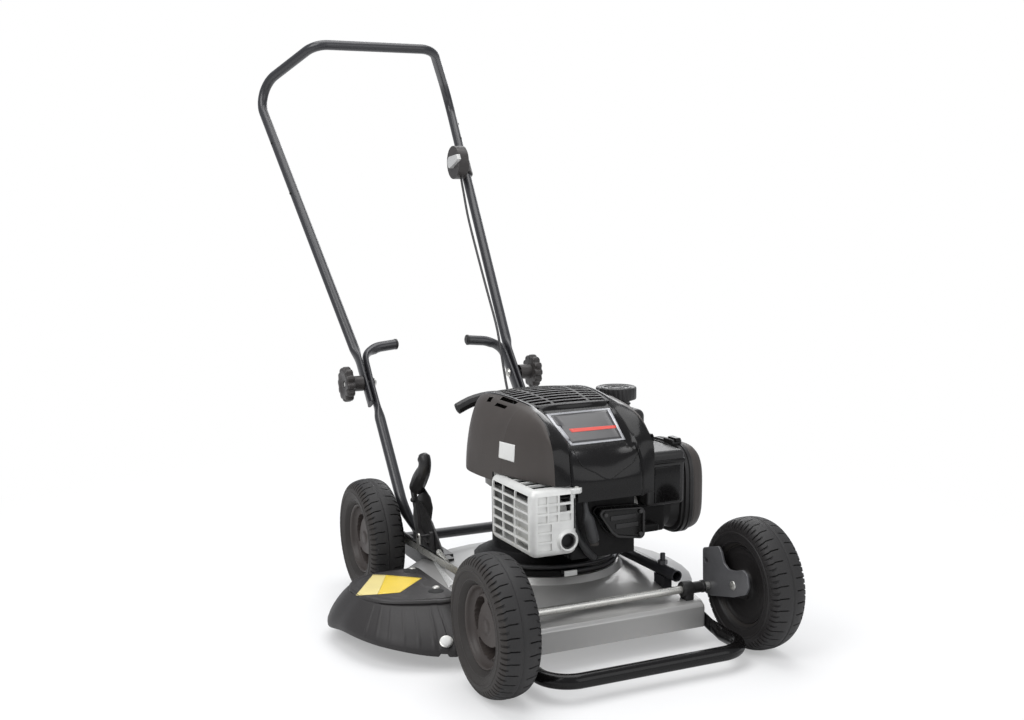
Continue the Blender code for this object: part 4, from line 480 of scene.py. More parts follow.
def step(low, high, value):
    """Smooth step from 0 to 1 between two values."""
    t = share_between(low, high, value)
    return t * t * (3 - 2 * t)


class Surface:
    """The outside of a finished piece, for laying details on it."""

    def __init__(self, piece):
        graph = bpy.context.evaluated_depsgraph_get()
        graph.update()
        shown = piece.evaluated_get(graph)
        mesh = shown.to_mesh()
        points = [piece.matrix_world @ v.co - SHIFT for v in mesh.vertices]
        faces = [tuple(f.vertices) for f in mesh.polygons]
        shown.to_mesh_clear()
        self.tree = BVHTree.FromPolygons(points, faces)

    def seen(self, px, py, lift=0.0):
        """Where the sight line through a pixel meets the surface, and the normal there."""
        ray = sight(px, py)
        spot, normal, face, far = self.tree.ray_cast(CAMERA_AT, ray)
        if spot is None:
            spot, normal, face, far = self.tree.find_nearest(CAMERA_AT + ray * SIGHT_RUN)
        if normal.dot(ray) > 0:
            normal = -normal
        return spot + normal * lift, normal


def film(name, surface, corners, look, lift=0.0005, cells=14):
    """A thin film laid on a surface between four pixels of the photograph."""
    a, b, c, d = [Vector((*p, 0)) for p in corners]
    points = []
    for r in range(cells + 1):
        for k in range(cells + 1):
            spot = a.lerp(b, k / cells).lerp(d.lerp(c, k / cells), r / cells)
            points.append(surface.seen(spot.x, spot.y, lift)[0])
    piece = mesh_piece(name, points, quads(cells + 1, cells + 1, False, False), look, "root")
    thicken(piece, lift * FILM_DEPTH, -1.0)
    return piece


# Floor, world and lights

FLOOR_HALF = 14.0
FLOOR_DROP = 0.0002
# Each lamp: its name, its place, the place that it shines at, its side and its power
LAMPS = (
    ("key", (-2.6, -1.2, 3.0), (0, 0, 0.25), 2.2, 70),
    ("front", (1.2, -3.4, 1.7), (0, 0, 0.3), 2.4, 26),
    ("top", (0.2, 0.4, 3.2), (0, 0, 0.2), 2.6, 62),
    ("rear", (1.8, 2.6, 1.8), (0, 0, 0.4), 1.8, 30),
)


def build_world():
    """A soft sky that the camera sees as plain white."""
    world = bpy.data.worlds.new("studio")
    bpy.context.scene.world = world
    world.use_nodes = True
    tree = world.node_tree
    tree.nodes.clear()
    soft = add_node(tree, "Background", {"Color": (0.93, 0.95, 1.0, 1.0), "Strength": 0.55})
    white = add_node(tree, "Background", {"Color": (1, 1, 1, 1), "Strength": 1.0})
    mix = add_node(tree, "MixShader")
    link(tree, (add_node(tree, "LightPath"), "Is Camera Ray", mix, "Fac"), (soft, 0, mix, 1),
         (white, 0, mix, 2), (mix, 0, add_node(tree, "OutputWorld"), "Surface"))


def floor_paint():
    """A pale paint that the camera sees turn plain white away from the mower."""
    paint = bpy.data.materials.new("floor_white")
    paint.use_nodes = True
    tree = paint.node_tree
    shader = tree.nodes["Principled BSDF"]
    set_inputs(shader, {"Base Color": (0.80, 0.80, 0.80, 1), "Roughness": 0.9,
                        "Specular IOR Level": 0.1})
    glow = add_node(tree, "Emission", {"Color": (1, 1, 1, 1), "Strength": 1.0})
    blend = add_node(tree, "MixShader")
    far = add_node(tree, "VectorMath")
    far.operation = "LENGTH"
    fade = add_node(tree, "MapRange", {"From Min": 0.55, "From Max": 1.25, "To Min": 0.35,
                                       "To Max": 1.0})
    fade.interpolation_type = "SMOOTHSTEP"
    seen = add_node(tree, "Math")
    seen.operation = "MULTIPLY"
    link(tree, (add_node(tree, "TexCoord"), "Object", far, 0), (far, "Value", fade, "Value"),
         (fade, "Result", seen, 0), (add_node(tree, "LightPath"), "Is Camera Ray", seen, 1),
         (seen, 0, blend, "Fac"), (shader, 0, blend, 1), (glow, 0, blend, 2),
         (blend, 0, tree.nodes["Material Output"], "Surface"))
    return paint


def build_floor():
    """A wide flat floor just under the mower."""
    mesh = bpy.data.meshes.new("floor")
    size = FLOOR_HALF
    mesh.from_pydata([(-size, -size, 0), (size, -size, 0), (size, size, 0), (-size, size, 0)], [],
                     [(0, 1, 2, 3)])
    floor = bpy.data.objects.new("floor", mesh)
    bpy.context.scene.collection.objects.link(floor)
    floor.location.z = min(0.0, cad_box[0][2]) - FLOOR_DROP
    mesh.materials.append(floor_paint())


def lamp(name, at, towards, size, power):
    """A square soft light."""
    data = bpy.data.lights.new(name, "AREA")
    data.shape = "SQUARE"
    data.size = size
    data.energy = power
    light = bpy.data.objects.new(name, data)
    bpy.context.scene.collection.objects.link(light)
    light.location = at
    light.rotation_euler = (Vector(at) - Vector(towards)).to_track_quat("Z", "Y").to_euler()


build_world()
build_floor()
for row in LAMPS:
    lamp(*row)

# Materials and eased edges on the solids

# Each look, the width of the eased edges, and the solids that have them. A name that ends in
# _left and _right on the mower stands here without that ending.
SOLID_LOOKS = (
    ("deck", 0.0012, ("deck_shell",)),
    ("zinc", 0.0005, ("chute_bolt_front", "chute_bolt_rear", "front_axle_rod", "height_link")),
    ("zinc", 0.0004, ("fold_bolt",)),
    ("tube", 0.0005, ("deck_rail",)),
    ("tube", 0.0004, ("rear_axle_tube",)),
    ("tube", 0.0003, ("lower_handle", "upper_handle", "front_bumper")),
    ("dark", 0.0005, ("height_quadrant",)),
    ("dark", 0.0006, ("rear_bracket", "height_lever")),
    ("plate", 0.0006, ("front_crank", "rear_crank")),
    ("black", 0.0006, ("front_bush", "valve_cover", "fuel_tank", "lever_grip")),
    ("black", 0.0010, ("air_filter_base", "starter_grip", "fuel_cap")),
    ("block", 0.0010, ("sump",)),
    ("block", 0.0006, ("engine_block",)),
    ("steel", 0.0010, ("muffler",)),
    ("steel", 0.0006, ("blade_carrier",)),
    ("steel", 0.0005, ("crankshaft",)),
    ("steel", 0.0004, ("blade",)),
    ("guard", 0.0010, ("muffler_guard",)),
    ("gloss", 0.0004, ("blower_cowl",)),
    ("alloy", 0.0008, ("carburettor", "flywheel")),
    ("foam", 0.0010, ("air_filter_element",)),
    ("ceramic", 0.0004, ("spark_plug",)),
    ("hose", 0.0005, ("spark_plug_boot",)),
    ("hose", 0.0002, ("throttle_cable",)),
    ("cord", 0.0002, ("starter_cord",)),
    ("silver", 0.0008, ("throttle_lever",)),
    ("cover", 0.0008, ("knob",)),
    ("cover", 0.0010, ("throttle_housing",)),
    ("cover", 0.0015, ("air_cleaner_cover",)),
    ("chute", 0.0010, ("side_chute",)),
    ("rubber", 0.0010, ("tyre_front", "tyre_rear")),
    ("rim", 0.0008, ("rim_front", "rim_rear")),
)
FLAT_SOLIDS = ("height_quadrant", "rear_bracket", "rear_crank")
SHARP_ON_SOLIDS = 32


def dress_solid(solid, look, edge, flat):
    """Give a solid its surface, and ease its sharp edges."""
    solid.data.materials.clear()
    solid.data.materials.append(SKINS[look])
    if "custom_normal" in solid.data.attributes:
        solid.data.attributes.remove(solid.data.attributes["custom_normal"])
    solid.modifiers.new("weld", "WELD").merge_threshold = WELD
    solid.data.polygons.foreach_set("use_smooth", [not flat] * len(solid.data.polygons))
    ease_edges(solid, edge, SHARP_ON_SOLIDS).harden_normals = not flat


for look, edge, stems in SOLID_LOOKS:
    for stem in stems:
        for ending in ("", "_left", "_right"):
            if stem + ending in nodes:
                dress_solid(nodes[stem + ending], look, edge, stem in FLAT_SOLIDS)

# Wheels

WHEEL_RADIUS = 0.100
WHEEL_X = 0.2115
FRONT_Y = -0.260
REAR_Y = 0.260
TREAD_PERIODS = 34
TREAD_STOPS = (0.0, 0.09, 0.150, 0.175, 0.195, 0.213, 0.232, 0.250, 0.268, 0.287, 0.305, 0.325,
               0.350, 0.41)
GROOVE_DEPTH = 0.0042
GROOVED_RADII = (0.0845, 0.0900)
TREAD_HALF = 0.0230
TREAD_FROM = 0.088
# The grooves. A pair of numbers is where one fades in or out, in metres across the tyre. The
# hook's turn, the flare and the long and short cuts' widths are shares of a period along it.
HOOK_TURN = 0.09
HOOK_REACH = (0.0200, 0.0228)
LONG_CUT_HALF = 0.036
LONG_CUT_SLOPE = 0.020
LONG_CUT_REACH = (0.0070, 0.0084)
FLARE = 0.020
FLARE_REACH = (0.0225, 0.0265)
SHORT_CUT_WIDTHS = (0.100, 0.070)
SHORT_CUT_REACH = (0.0205, 0.0222)
SHORT_CUT_DEPTH = 0.85
MIDDLE_CUT_AT = 0.0012
MIDDLE_CUT_WIDTHS = (0.0016, 0.0006)
MIDDLE_CUT_DEPTH = 0.22
SHOULDER_REACH = (0.0290, 0.0300)
RIM_SIDES = 240
DISH_RADII = (0.020, 0.0452)
WINDOW_COUNT = 3
WINDOW_FIRST = math.radians(28)
WINDOW_SWING = math.radians(45)
WINDOW_CENTRE = 0.0360
WINDOW_HALF = 0.0092
WINDOW_NARROWING = 0.0054
WINDOW_EDGE = 0.0012
WINDOW_DEPTH = 0.0170
INNER_DISH = -0.0100


def tyre_section():
    """The tyre's section from its outer bead over the tread and back through its bore."""
    half = [
        (0.0590, 0.0185), (0.0605, 0.0215), (0.0625, 0.0235), (0.0640, 0.0262), (0.0655, 0.0272),
        (0.0670, 0.0268), (0.0690, 0.0276), (0.0730, 0.0288), (0.0765, 0.0296), (0.0775, 0.0306),
        (0.0800, 0.0308), (0.0812, 0.0299), (0.0840, 0.0296), (0.0868, 0.0290), (0.0892, 0.0281),
        (0.0912, 0.0269), (0.0930, 0.0254), (0.0945, 0.0236), (0.0957, 0.0216), (0.0967, 0.0196),
        (0.0976, 0.0172), (0.0983, 0.0150), (0.0988, 0.0130), (0.0992, 0.0110), (0.0995, 0.0092),
        (0.0998, 0.0074), (0.0999, 0.0054), (0.1000, 0.0036), (0.1000, 0.0018),
    ]
    bore = [(0.0585, -0.0185), (0.0585, 0.0185)]
    return [*half, (WHEEL_RADIUS, 0.0), *[(r, -h) for r, h in half[::-1]], *bore]


def groove(place, across):
    """Depth of the tread's pattern, as a share, at a place in its period and across the tyre."""
    side = across > 0
    reach = abs(across)
    near_first = abs(place - 0.25)
    near_second = abs(place - 0.75)
    near_long = near_first if side else near_second
    near_short = near_second if side else near_first
    wide = LONG_CUT_HALF + FLARE * step(*FLARE_REACH, reach)
    long_cut = step(wide + LONG_CUT_SLOPE, wide, near_long) * step(*LONG_CUT_REACH, reach)
    short_cut = step(*SHORT_CUT_WIDTHS, near_short) * step(*SHORT_CUT_REACH, reach) * SHORT_CUT_DEPTH
    middle_cut = MIDDLE_CUT_DEPTH * step(*MIDDLE_CUT_WIDTHS, abs(across - MIDDLE_CUT_AT))
    return max(long_cut, short_cut, middle_cut) * (1.0 - step(*SHOULDER_REACH, reach))


def build_tyre(name, at, side, body, stands_for):
    """A tyre with sidewall rings and blocks of tread cut by hooked grooves."""
    section = tyre_section()
    stops = [t + half for half in (0.0, 0.5) for t in TREAD_STOPS]
    count = TREAD_PERIODS * len(stops)
    points = []
    for radius, across in section:
        hook = HOOK_TURN * step(*HOOK_REACH, abs(across))
        for k in range(count):
            place = stops[k % len(stops)]
            a = 2 * math.pi * (k // len(stops) + place + hook) / TREAD_PERIODS
            r = radius
            if radius > GROOVED_RADII[0]:
                r -= GROOVE_DEPTH * groove(place, across) * step(*GROOVED_RADII, radius)
            points.append((at[0] + side * across, at[1] + r * math.cos(a), at[2] + r * math.sin(a)))
    piece = mesh_piece(name, points, quads(len(section), count, loop_rows=True), "rubber", body,
                       stands_for, 28)
    tread_faces(piece, at, side)


def tread_faces(piece, at, side):
    """Give the running face its own tone, and the inner side, which faces the mower, a darker tone as
    painted shade.
    """
    piece.data.materials.append(SKINS["tread"])
    piece.data.materials.append(SKINS["inner"])
    for face in piece.data.polygons:
        middle = face.center - Vector(at)
        if middle.x * side < -TREAD_HALF:
            face.material_index = 2
        elif abs(middle.x) < TREAD_HALF and math.hypot(middle.y, middle.z) > TREAD_FROM:
            face.material_index = 1


def window(u, v):
    """How far a place on the wheel's face lies inside one of its curved windows."""
    best = 0.0
    radius = math.hypot(u, v)
    for turn in around(WINDOW_COUNT):
        angle = (math.atan2(v, u) - WINDOW_FIRST - turn + math.pi) % (2 * math.pi) - math.pi
        held = max(-WINDOW_SWING, min(WINDOW_SWING, angle))
        half = WINDOW_HALF - WINDOW_NARROWING * (abs(held) / WINDOW_SWING) ** 1.6
        off = math.hypot(radius * math.cos(angle) - WINDOW_CENTRE * math.cos(held),
                         radius * math.sin(angle) - WINDOW_CENTRE * math.sin(held))
        best = max(best, step(half, half - WINDOW_EDGE, off))
    return best


def build_rim(name, at, side, body, stands_for):
    """A moulded wheel centre: stepped dish, hub boss and three deep windows outside, and a
    plain dish inside."""
    outer = [(0.0, 0.0150), (0.004, 0.0149), (0.0075, 0.0145), (0.0100, 0.0136), (0.0112, 0.0124),
             (0.0125, 0.0118), (0.0150, 0.0117), (0.0180, 0.0117), (0.0200, 0.0116)]
    outer += [(0.0212 + 0.0008 * k, 0.0116 - 0.000016 * k) for k in range(30)]
    outer += [(0.0455, 0.0104), (0.0462, 0.0088), (0.0474, 0.0084), (0.0490, 0.0092),
              (0.0510, 0.0110), (0.0528, 0.0132), (0.0540, 0.0158), (0.0548, 0.0182),
              (0.0560, 0.0195), (0.0574, 0.0198), (0.0583, 0.0192), (0.0585, 0.0180),
              (0.0585, -0.0180), (0.0580, -0.0194), (0.0568, -0.0196), (0.0556, -0.0186),
              (0.0545, -0.0176), (0.0530, -0.0168), (0.0500, -0.0164), (0.0470, -0.0168),
              (0.0455, -0.0160), (0.0330, -0.0156), (0.0260, -0.0158), (0.0240, -0.0164),
              (0.0225, -0.0178), (0.0215, -0.0210), (0.0200, -0.0250), (0.0165, -0.0270),
              (0.0090, -0.0272)]
    points = []
    for radius, height in outer:
        dished = DISH_RADII[0] < radius < DISH_RADII[1] and height > 0
        for a in around(RIM_SIDES):
            u = radius * math.cos(a)
            v = radius * math.sin(a)
            drop = WINDOW_DEPTH * window(u, v) if dished else 0.0
            points.append((at[0] + side * (height - drop), at[1] + u, at[2] + v))
    piece = mesh_piece(name, points, quads(len(outer), RIM_SIDES), "rim", body, stands_for, 40)
    # The inner dish takes the darker inner-side tone: painted shade on the side that faces the mower.
    piece.data.materials.append(SKINS["inner"])
    for face in piece.data.polygons:
        if (face.center.x - at[0]) * side < INNER_DISH:
            face.material_index = 1


for end, y in (("front", FRONT_Y), ("rear", REAR_Y)):
    for side_name, side in SIDES:
        tag = end + "_" + side_name
        at = (side * WHEEL_X, y, WHEEL_RADIUS)
        build_tyre("moulded_tyre_" + tag, at, side, "wheel_" + tag, ["tyre_" + tag])
        build_rim("moulded_rim_" + tag, at, side, "wheel_" + tag, ["rim_" + tag])

# Cutting helpers

CUT_LEAD = 0.004


def block_mesh(name, blocks):
    """One mesh of separate blocks, each from its low corner to its high corner."""
    bm = bmesh.new()
    for low, high in blocks:
        size = Vector(high) - Vector(low)
        move = Matrix.Translation((Vector(high) + Vector(low)) / 2)
        bmesh.ops.create_cube(bm, size=1.0, matrix=move @ Matrix.Diagonal((*size, 1.0)))
    return baked(name, bm)


def rod_mesh(name, start, end, radius, sides=64):
    """A plain round bar between two places."""
    bm = bmesh.new()
    line = Vector(end) - Vector(start)
    turn = line.to_track_quat("Z", "Y").to_matrix().to_4x4()
    move = Matrix.Translation((Vector(start) + Vector(end)) / 2)
    bmesh.ops.create_cone(bm, cap_ends=True, segments=sides, radius1=radius, radius2=radius,
                          depth=line.length, matrix=move @ turn)
    return baked(name, bm)


def prism_mesh(name, loop, offset):
    """A solid between a loop of places and the same loop moved by an offset."""
    count = len(loop)
    points = [Vector(p) for p in loop] + [Vector(p) + Vector(offset) for p in loop]
    faces = [tuple(range(count)), tuple(range(2 * count - 1, count - 1, -1))]
    faces += [(k, (k + 1) % count, count + (k + 1) % count, count + k) for k in range(count)]
    mesh = bpy.data.meshes.new(name)
    mesh.from_pydata([tuple(p) for p in points], [], faces)
    settle(mesh)
    return mesh


def seen_prism(name, surface, pixels, depth, mirror):
    """A cutter through a surface, over a loop of pixels of the photograph."""
    found = [surface.seen(*pixel) for pixel in pixels]
    inward = -sum((normal for spot, normal in found), Vector()).normalized()
    loop = [spot - inward * CUT_LEAD for spot, normal in found]
    offset = inward * (depth + CUT_LEAD)
    if mirror:
        loop = mirrored(loop)
        offset = mirrored([offset])[0]
    return prism_mesh(name, loop, offset)


def carve(piece, tools, sharp=33):
    """Cut meshes out of a piece and keep the result alone."""
    used = []
    for mesh in tools:
        tool = bpy.data.objects.new(mesh.name, mesh)
        bpy.context.scene.collection.objects.link(tool)
        tool.location = SHIFT
        change = piece.modifiers.new(mesh.name, "BOOLEAN")
        change.operation = "DIFFERENCE"
        change.solver = "MANIFOLD"
        change.object = tool
        used.append(tool)
    graph = bpy.context.evaluated_depsgraph_get()
    graph.update()
    made = bpy.data.meshes.new_from_object(piece.evaluated_get(graph))
    piece.modifiers.clear()
    piece.data = made
    for tool in used:
        bpy.data.objects.remove(tool)
    smooth(made, sharp)


def trace(name, surface, pixels, radius, look):
    """A fine bead laid on a surface along pixels of the photograph."""
    line = spline([(x, y, 0) for x, y in pixels], 2.0)
    points = [surface.seen(p.x, p.y)[0] for p in line]
    return tube(name, points, radius, look, "root", resolution=3)


# Blower cowl

# Each row runs from the middle to one side: the middle (y, z), then the crease beside the label
# panel, the ridge over the side panel and the lower edge, each as (x, y, z). Rows run from the
# front's lower edge over the top to the rear.
COWL_KEYS = (
    ((-.1950, .238), (.0610, -.1930, .2380), (.0820, -.1865, .2380), (.0825, -.1860, .238)),
    ((-.1945, .255), (.0610, -.1930, .2550), (.0820, -.1865, .2560), (.0832, -.1835, .238)),
    ((-.1940, .270), (.0608, -.1920, .2730), (.0822, -.1860, .2760), (.0840, -.1805, .238)),
    ((-.1850, .288), (.0595, -.1870, .2970), (.0828, -.1845, .2970), (.0855, -.1760, .239)),
    ((-.1720, .304), (.0565, -.1760, .3170), (.0826, -.1795, .3145), (.0875, -.1700, .240)),
    ((-.1600, .314), (.0550, -.1630, .3280), (.0805, -.1650, .3310), (.0905, -.1620, .242)),
    ((-.1400, .3265), (.0552, -.1460, .3380), (.0775, -.1430, .3475), (.0955, -.1480, .246)),
    ((-.1150, .3420), (.0572, -.1150, .3515), (.0752, -.1130, .3580), (.1050, -.1180, .250)),
    ((-.0960, .3530), (.0605, -.0940, .3580), (.0733, -.0930, .3615), (.1110, -.0930, .250)),
    ((-.0890, .3570), (.0622, -.0840, .3610), (.0722, -.0810, .3635), (.1142, -.0780, .250)),
    ((-.0865, .3632), (.0630, -.0810, .3622), (.0721, -.0770, .3640), (.1150, -.0740, .250)),
    ((-.0800, .3645), (.0645, -.0730, .3638), (.0722, -.0680, .3650), (.1170, -.0660, .250)),
    ((-.0450, .3695), (.0690, -.0400, .3670), (.0755, -.0360, .3675), (.1215, -.0330, .250)),
    ((.0000, .3730), (.0735, .0030, .3690), (.0800, .0060, .3690), (.1245, .0060, .250)),
    ((.0400, .3720), (.0750, .0420, .3680), (.0820, .0450, .3670), (.1215, .0470, .250)),
    ((.0750, .3680), (.0680, .0770, .3640), (.0740, .0810, .3620), (.1010, .0920, .250)),
    ((.1000, .3620), (.0500, .1020, .3580), (.0550, .1080, .3560), (.0720, .1202, .250)),
    ((.1170, .3560), (.0290, .1180, .3535), (.0320, .1245, .3510), (.0420, .1357, .250)),
    ((.1250, .3530), (.0010, .1255, .3525), (.0012, .1320, .3490), (.0015, .1430, .250)),
)
COWL_STEP = 5
SIDE_STRIPS = 16
RIDGE_STRIPS = 7
TOP_STRIPS = 24
GLOSS, MATT, GRILLE = range(3)
GRILLE_ROWS = (9.9, 16.5)
ENGINE_Y = 0.018
TANK_CAP_AT = (0.147, 0.048)
COWL_THICKNESS = 0.0025
# The side's curve in section, with what its power gains at the rear rows, where the side is
# less full, and the ridge above it
SIDE_SWING = 82
SIDE_POWER = 0.72
REAR_GAIN = 0.42
REAR_ROWS = (10.0, 13.0)
RIDGE_RISE = 0.0016
# The label's panel, sunk between the two creases, and the groove beside each crease
PANEL_FRONT_ROWS = (3.2, 4.4)
PANEL_REAR_ROWS = (9.8, 9.0)
PANEL_EDGE = (0.84, 0.97)
CREASE_LAST_ROW = 9.3
CREASE_DROP = 0.0018
CREASE_BACK = 0.0012
# The grille: its half width swells in the middle and tapers at the rear
GRILLE_SLOTS = 12
GRILLE_PITCH = 0.0142
GRILLE_FRONT = -0.0725
GRILLE_OPEN_HALF = 0.30
GRILLE_HALF = 0.0590
GRILLE_SWELL = 0.010
TAPER_FROM = 0.06
TAPER = 0.75
GRILLE_CUT = (0.3300, 0.40)
RIB_FRONT = 0.030
RIB_SPREAD = 0.016
RIB_HALF = 0.0022
LEAST_SLOT = 0.004
SIDE_SLOT_DEPTH = 0.012
# Pixels of the photograph: the slots in the cowl's side, the films on it with their looks and
# heights, and the raised line under the label
SIDE_SLOTS = (
    ((499.5, 399.5), (503.0, 396.5), (518.5, 402.0), (514.5, 404.5)),
    ((494.5, 405.5), (497.5, 402.8), (507.5, 406.2), (505.0, 409.0)),
    ((486.5, 401.5), (490.0, 396.8), (494.0, 397.2), (490.5, 402.0)),
)
COWL_FILMS = (
    ("label_border", "trim", 0.0004, ((545.6, 414.2), (609.8, 408.0), (625.6, 439.6), (571.0, 445.8))),
    ("label_plate", "panel", 0.0008, ((547.8, 416.0), (608.2, 409.9), (623.2, 438.2), (572.4, 443.6))),
    ("label_stripe", "red", 0.0011, ((568.6, 429.4), (616.4, 425.6), (617.4, 428.3), (571.8, 432.8))),
    ("side_sticker", "white", 0.0004, ((499.7, 441.3), (515.0, 445.1), (514.2, 462.4), (498.7, 457.6))),
)
SHIELD_LINE = ((574, 450), (581.6, 465), (595, 472.5), (609, 479), (623, 469.5), (635, 459.5),
               (641, 442))


def cowl_spot(number, row):
    """Place on one of the cowl's lines, at a row that may lie between two."""
    first = min(int(row), len(COWL_KEYS) - 2)
    t = row - first
    found = []
    for k in (first - 1, first, first + 1, first + 2):
        key = COWL_KEYS[max(0, min(len(COWL_KEYS) - 1, k))][number]
        found.append(Vector((0.0, *key)) if number == 0 else Vector(key))
    return between(*found, t)


def cowl_half(row):
    """Points of one row from the lower edge to the middle, and the look of each strip."""
    middle, crease, ridge, foot = [cowl_spot(k, row) for k in range(4)]
    made = []
    for k in range(SIDE_STRIPS):
        a = math.radians(90 - SIDE_SWING * k / SIDE_STRIPS)
        out = math.sin(a)
        rise = math.cos(a) ** (SIDE_POWER + REAR_GAIN * step(*REAR_ROWS, row))
        spot = ridge.lerp(foot, out)
        spot.z = foot.z + (ridge.z - foot.z) * rise
        made.append((spot, MATT))
    for k in range(RIDGE_STRIPS):
        t = k / RIDGE_STRIPS
        spot = ridge.lerp(crease, t)
        spot.z += RIDGE_RISE * math.sin(math.pi * t)
        made.append((spot, GLOSS))
    panel = step(*PANEL_FRONT_ROWS, row) * step(*PANEL_REAR_ROWS, row)
    for k in range(TOP_STRIPS):
        t = 1 - k / TOP_STRIPS
        share = t * t + (step(*PANEL_EDGE, t) - t * t) * panel
        spot = middle.lerp(crease, share)
        spot.x = crease.x * t
        if k == 1 and row < CREASE_LAST_ROW:
            spot.z -= CREASE_DROP
            spot.y += CREASE_BACK
        made.append((spot, GRILLE if GRILLE_ROWS[0] < row < GRILLE_ROWS[1] else GLOSS))
    made.append((middle.copy(), GLOSS))
    return made


def cowl_shell():
    """The cowl's skin before it is cut."""
    rows = (len(COWL_KEYS) - 1) * COWL_STEP + 1
    bm = bmesh.new()
    grid = []
    looks = []
    for r in range(rows):
        half = cowl_half(r / COWL_STEP)
        edge = [spot for spot, strip in half]
        line = mirrored(edge) + edge[-2::-1]
        grid.append([bm.verts.new(p) for p in line])
        strips = [strip for spot, strip in half[:-1]]
        looks.append(strips + strips[::-1])
    for low, high, row_looks in zip(grid, grid[1:], looks):
        for k, strip in enumerate(row_looks):
            face = bm.faces.new((low[k], low[k + 1], high[k + 1], high[k]))
            face.material_index = strip
    bmesh.ops.remove_doubles(bm, verts=bm.verts, dist=0.0003)
    bmesh.ops.recalc_face_normals(bm, faces=bm.faces)
    top = max(bm.faces, key=lambda f: f.calc_center_median().z)
    if top.normal.z < 0:
        bmesh.ops.reverse_faces(bm, faces=bm.faces[:])
    mesh = baked("cowl_housing", bm)
    cowl = add_piece("cowl_housing", mesh, "gloss", "root", ["blower_cowl"])
    mesh.materials.append(SKINS["matt"])
    mesh.materials.append(SKINS["grille"])
    smooth(mesh, 40)
    thicken(cowl, COWL_THICKNESS, -1.0).use_even_offset = True
    return cowl


def grille_blocks():
    """Slots of the grille, in three bays between curved ribs."""
    blocks = []
    for k in range(GRILLE_SLOTS):
        y = GRILLE_FRONT + GRILLE_PITCH * k
        t = k / (GRILLE_SLOTS - 1)
        rib = RIB_FRONT + RIB_SPREAD * t
        edge = GRILLE_HALF + GRILLE_SWELL * math.sin(math.pi * min(1.0, t * 1.15))
        edge -= max(0.0, y - TAPER_FROM) * TAPER
        half = GRILLE_PITCH * GRILLE_OPEN_HALF
        inner = rib - RIB_HALF
        outer = rib + RIB_HALF
        for x0, x1 in ((-edge, -outer), (-inner, inner), (outer, edge)):
            if x1 - x0 > LEAST_SLOT:
                blocks.append(((x0, y - half, GRILLE_CUT[0]), (x1, y + half, GRILLE_CUT[1])))
    return blocks


def build_cowl():
    """The cowl with its grille, side slots and the room for its neighbours."""
    cowl = cowl_shell()
    uncut = Surface(cowl)
    tools = [
        block_mesh("grille_slots", grille_blocks()),
        block_mesh("guard_room", [((-0.150, -0.225, 0.10), (-0.0490, -0.0490, 0.2635))]),
        rod_mesh("filter_room", (0.0960, -0.056, 0.217), (0.22, -0.056, 0.217), 0.0768),
        rod_mesh("cap_room", (*TANK_CAP_AT, 0.332), (*TANK_CAP_AT, 0.41), 0.0318),
    ]
    for number, slot in enumerate(SIDE_SLOTS):
        for mirror in (False, True):
            name = "side_slot_%d_%d" % (number, mirror)
            tools.append(seen_prism(name, uncut, slot, SIDE_SLOT_DEPTH, mirror))
    carve(cowl, tools)
    return cowl


cowl_skin = Surface(build_cowl())
# A near-black disc under the grille: painted shade seen through its slots.
lathe("grille_shade_disc", [(0.0, 0.3340), (0.078, 0.3340), (0.080, 0.3320), (0.080, 0.3300),
                     (0.0, 0.3300)], "hollow", "root", (0, ENGINE_Y, 0), "Z", 64)
for name, look, lift, corners in COWL_FILMS:
    film(name, cowl_skin, corners, look, lift)
trace("shield_trim", cowl_skin, SHIELD_LINE, 0.0009, "gloss")

# Exhaust guard and silencer

OUTLET_AT = (-0.0680, 0.1850)
GUARD_LOW = (-0.1250, -0.1970, 0.1630)
GUARD_HIGH = (-0.0500, -0.0500, 0.2620)
SLOT_COUNT = 6
SLOT_PITCH = 0.0139
SLOT_HEIGHT = 0.0108
SLOT_LOW = 0.1735
SLOT_BAYS = ((-0.1850, -0.1420), (-0.1392, -0.0990), (-0.0962, -0.0640))
TOP_SLOT_COUNT = 5
TOP_SLOT_PITCH = 0.0240
CUT_FRONT = -0.2100
THROUGH_BACK = -0.1850
PAD_BACK = -0.1944
UPPER_ROWS = ((0.2420, 0.2530), (0.2285, 0.2385))
MIDDLE_ROW = ((0.2150, 0.2250),)
LOWER_ROWS = ((0.2010, 0.2120), (0.1870, 0.1980), (0.1735, 0.1840))
PAD_COLUMNS = ((-0.1145, -0.0998), (-0.0972, -0.0830))
WIDE_COLUMN = ((-0.1145, -0.0930),)
OPEN_COLUMN = ((-0.0800, -0.0620),)


def front_blocks(columns, rows, back):
    """Cutters in the guard's front, over columns in x and rows in z, as far back as a place."""
    return [((x0, CUT_FRONT, z0), (x1, back, z1)) for x0, x1 in columns for z0, z1 in rows]


def guard_windows():
    """Openings and shallow pads of the cast guard."""
    through = []
    for k in range(SLOT_COUNT):
        z = SLOT_LOW + SLOT_PITCH * k
        through += [((-0.135, y0, z), (-0.118, y1, z + SLOT_HEIGHT)) for y0, y1 in SLOT_BAYS]
    for k in range(TOP_SLOT_COUNT):
        y = -0.1790 + TOP_SLOT_PITCH * k
        through.append(((-0.1130, y, 0.2500), (-0.0760, y + 0.0195, 0.2720)))
    through += front_blocks(OPEN_COLUMN, UPPER_ROWS, THROUGH_BACK)
    through += front_blocks(((-0.0572, -0.0538),), ((0.2010, 0.2460),), THROUGH_BACK)
    pads = front_blocks(PAD_COLUMNS, UPPER_ROWS + MIDDLE_ROW, PAD_BACK)
    pads += front_blocks(OPEN_COLUMN, MIDDLE_ROW, PAD_BACK)
    pads += front_blocks(WIDE_COLUMN, LOWER_ROWS, PAD_BACK)
    return block_mesh("guard_openings", through), block_mesh("guard_pads", pads)


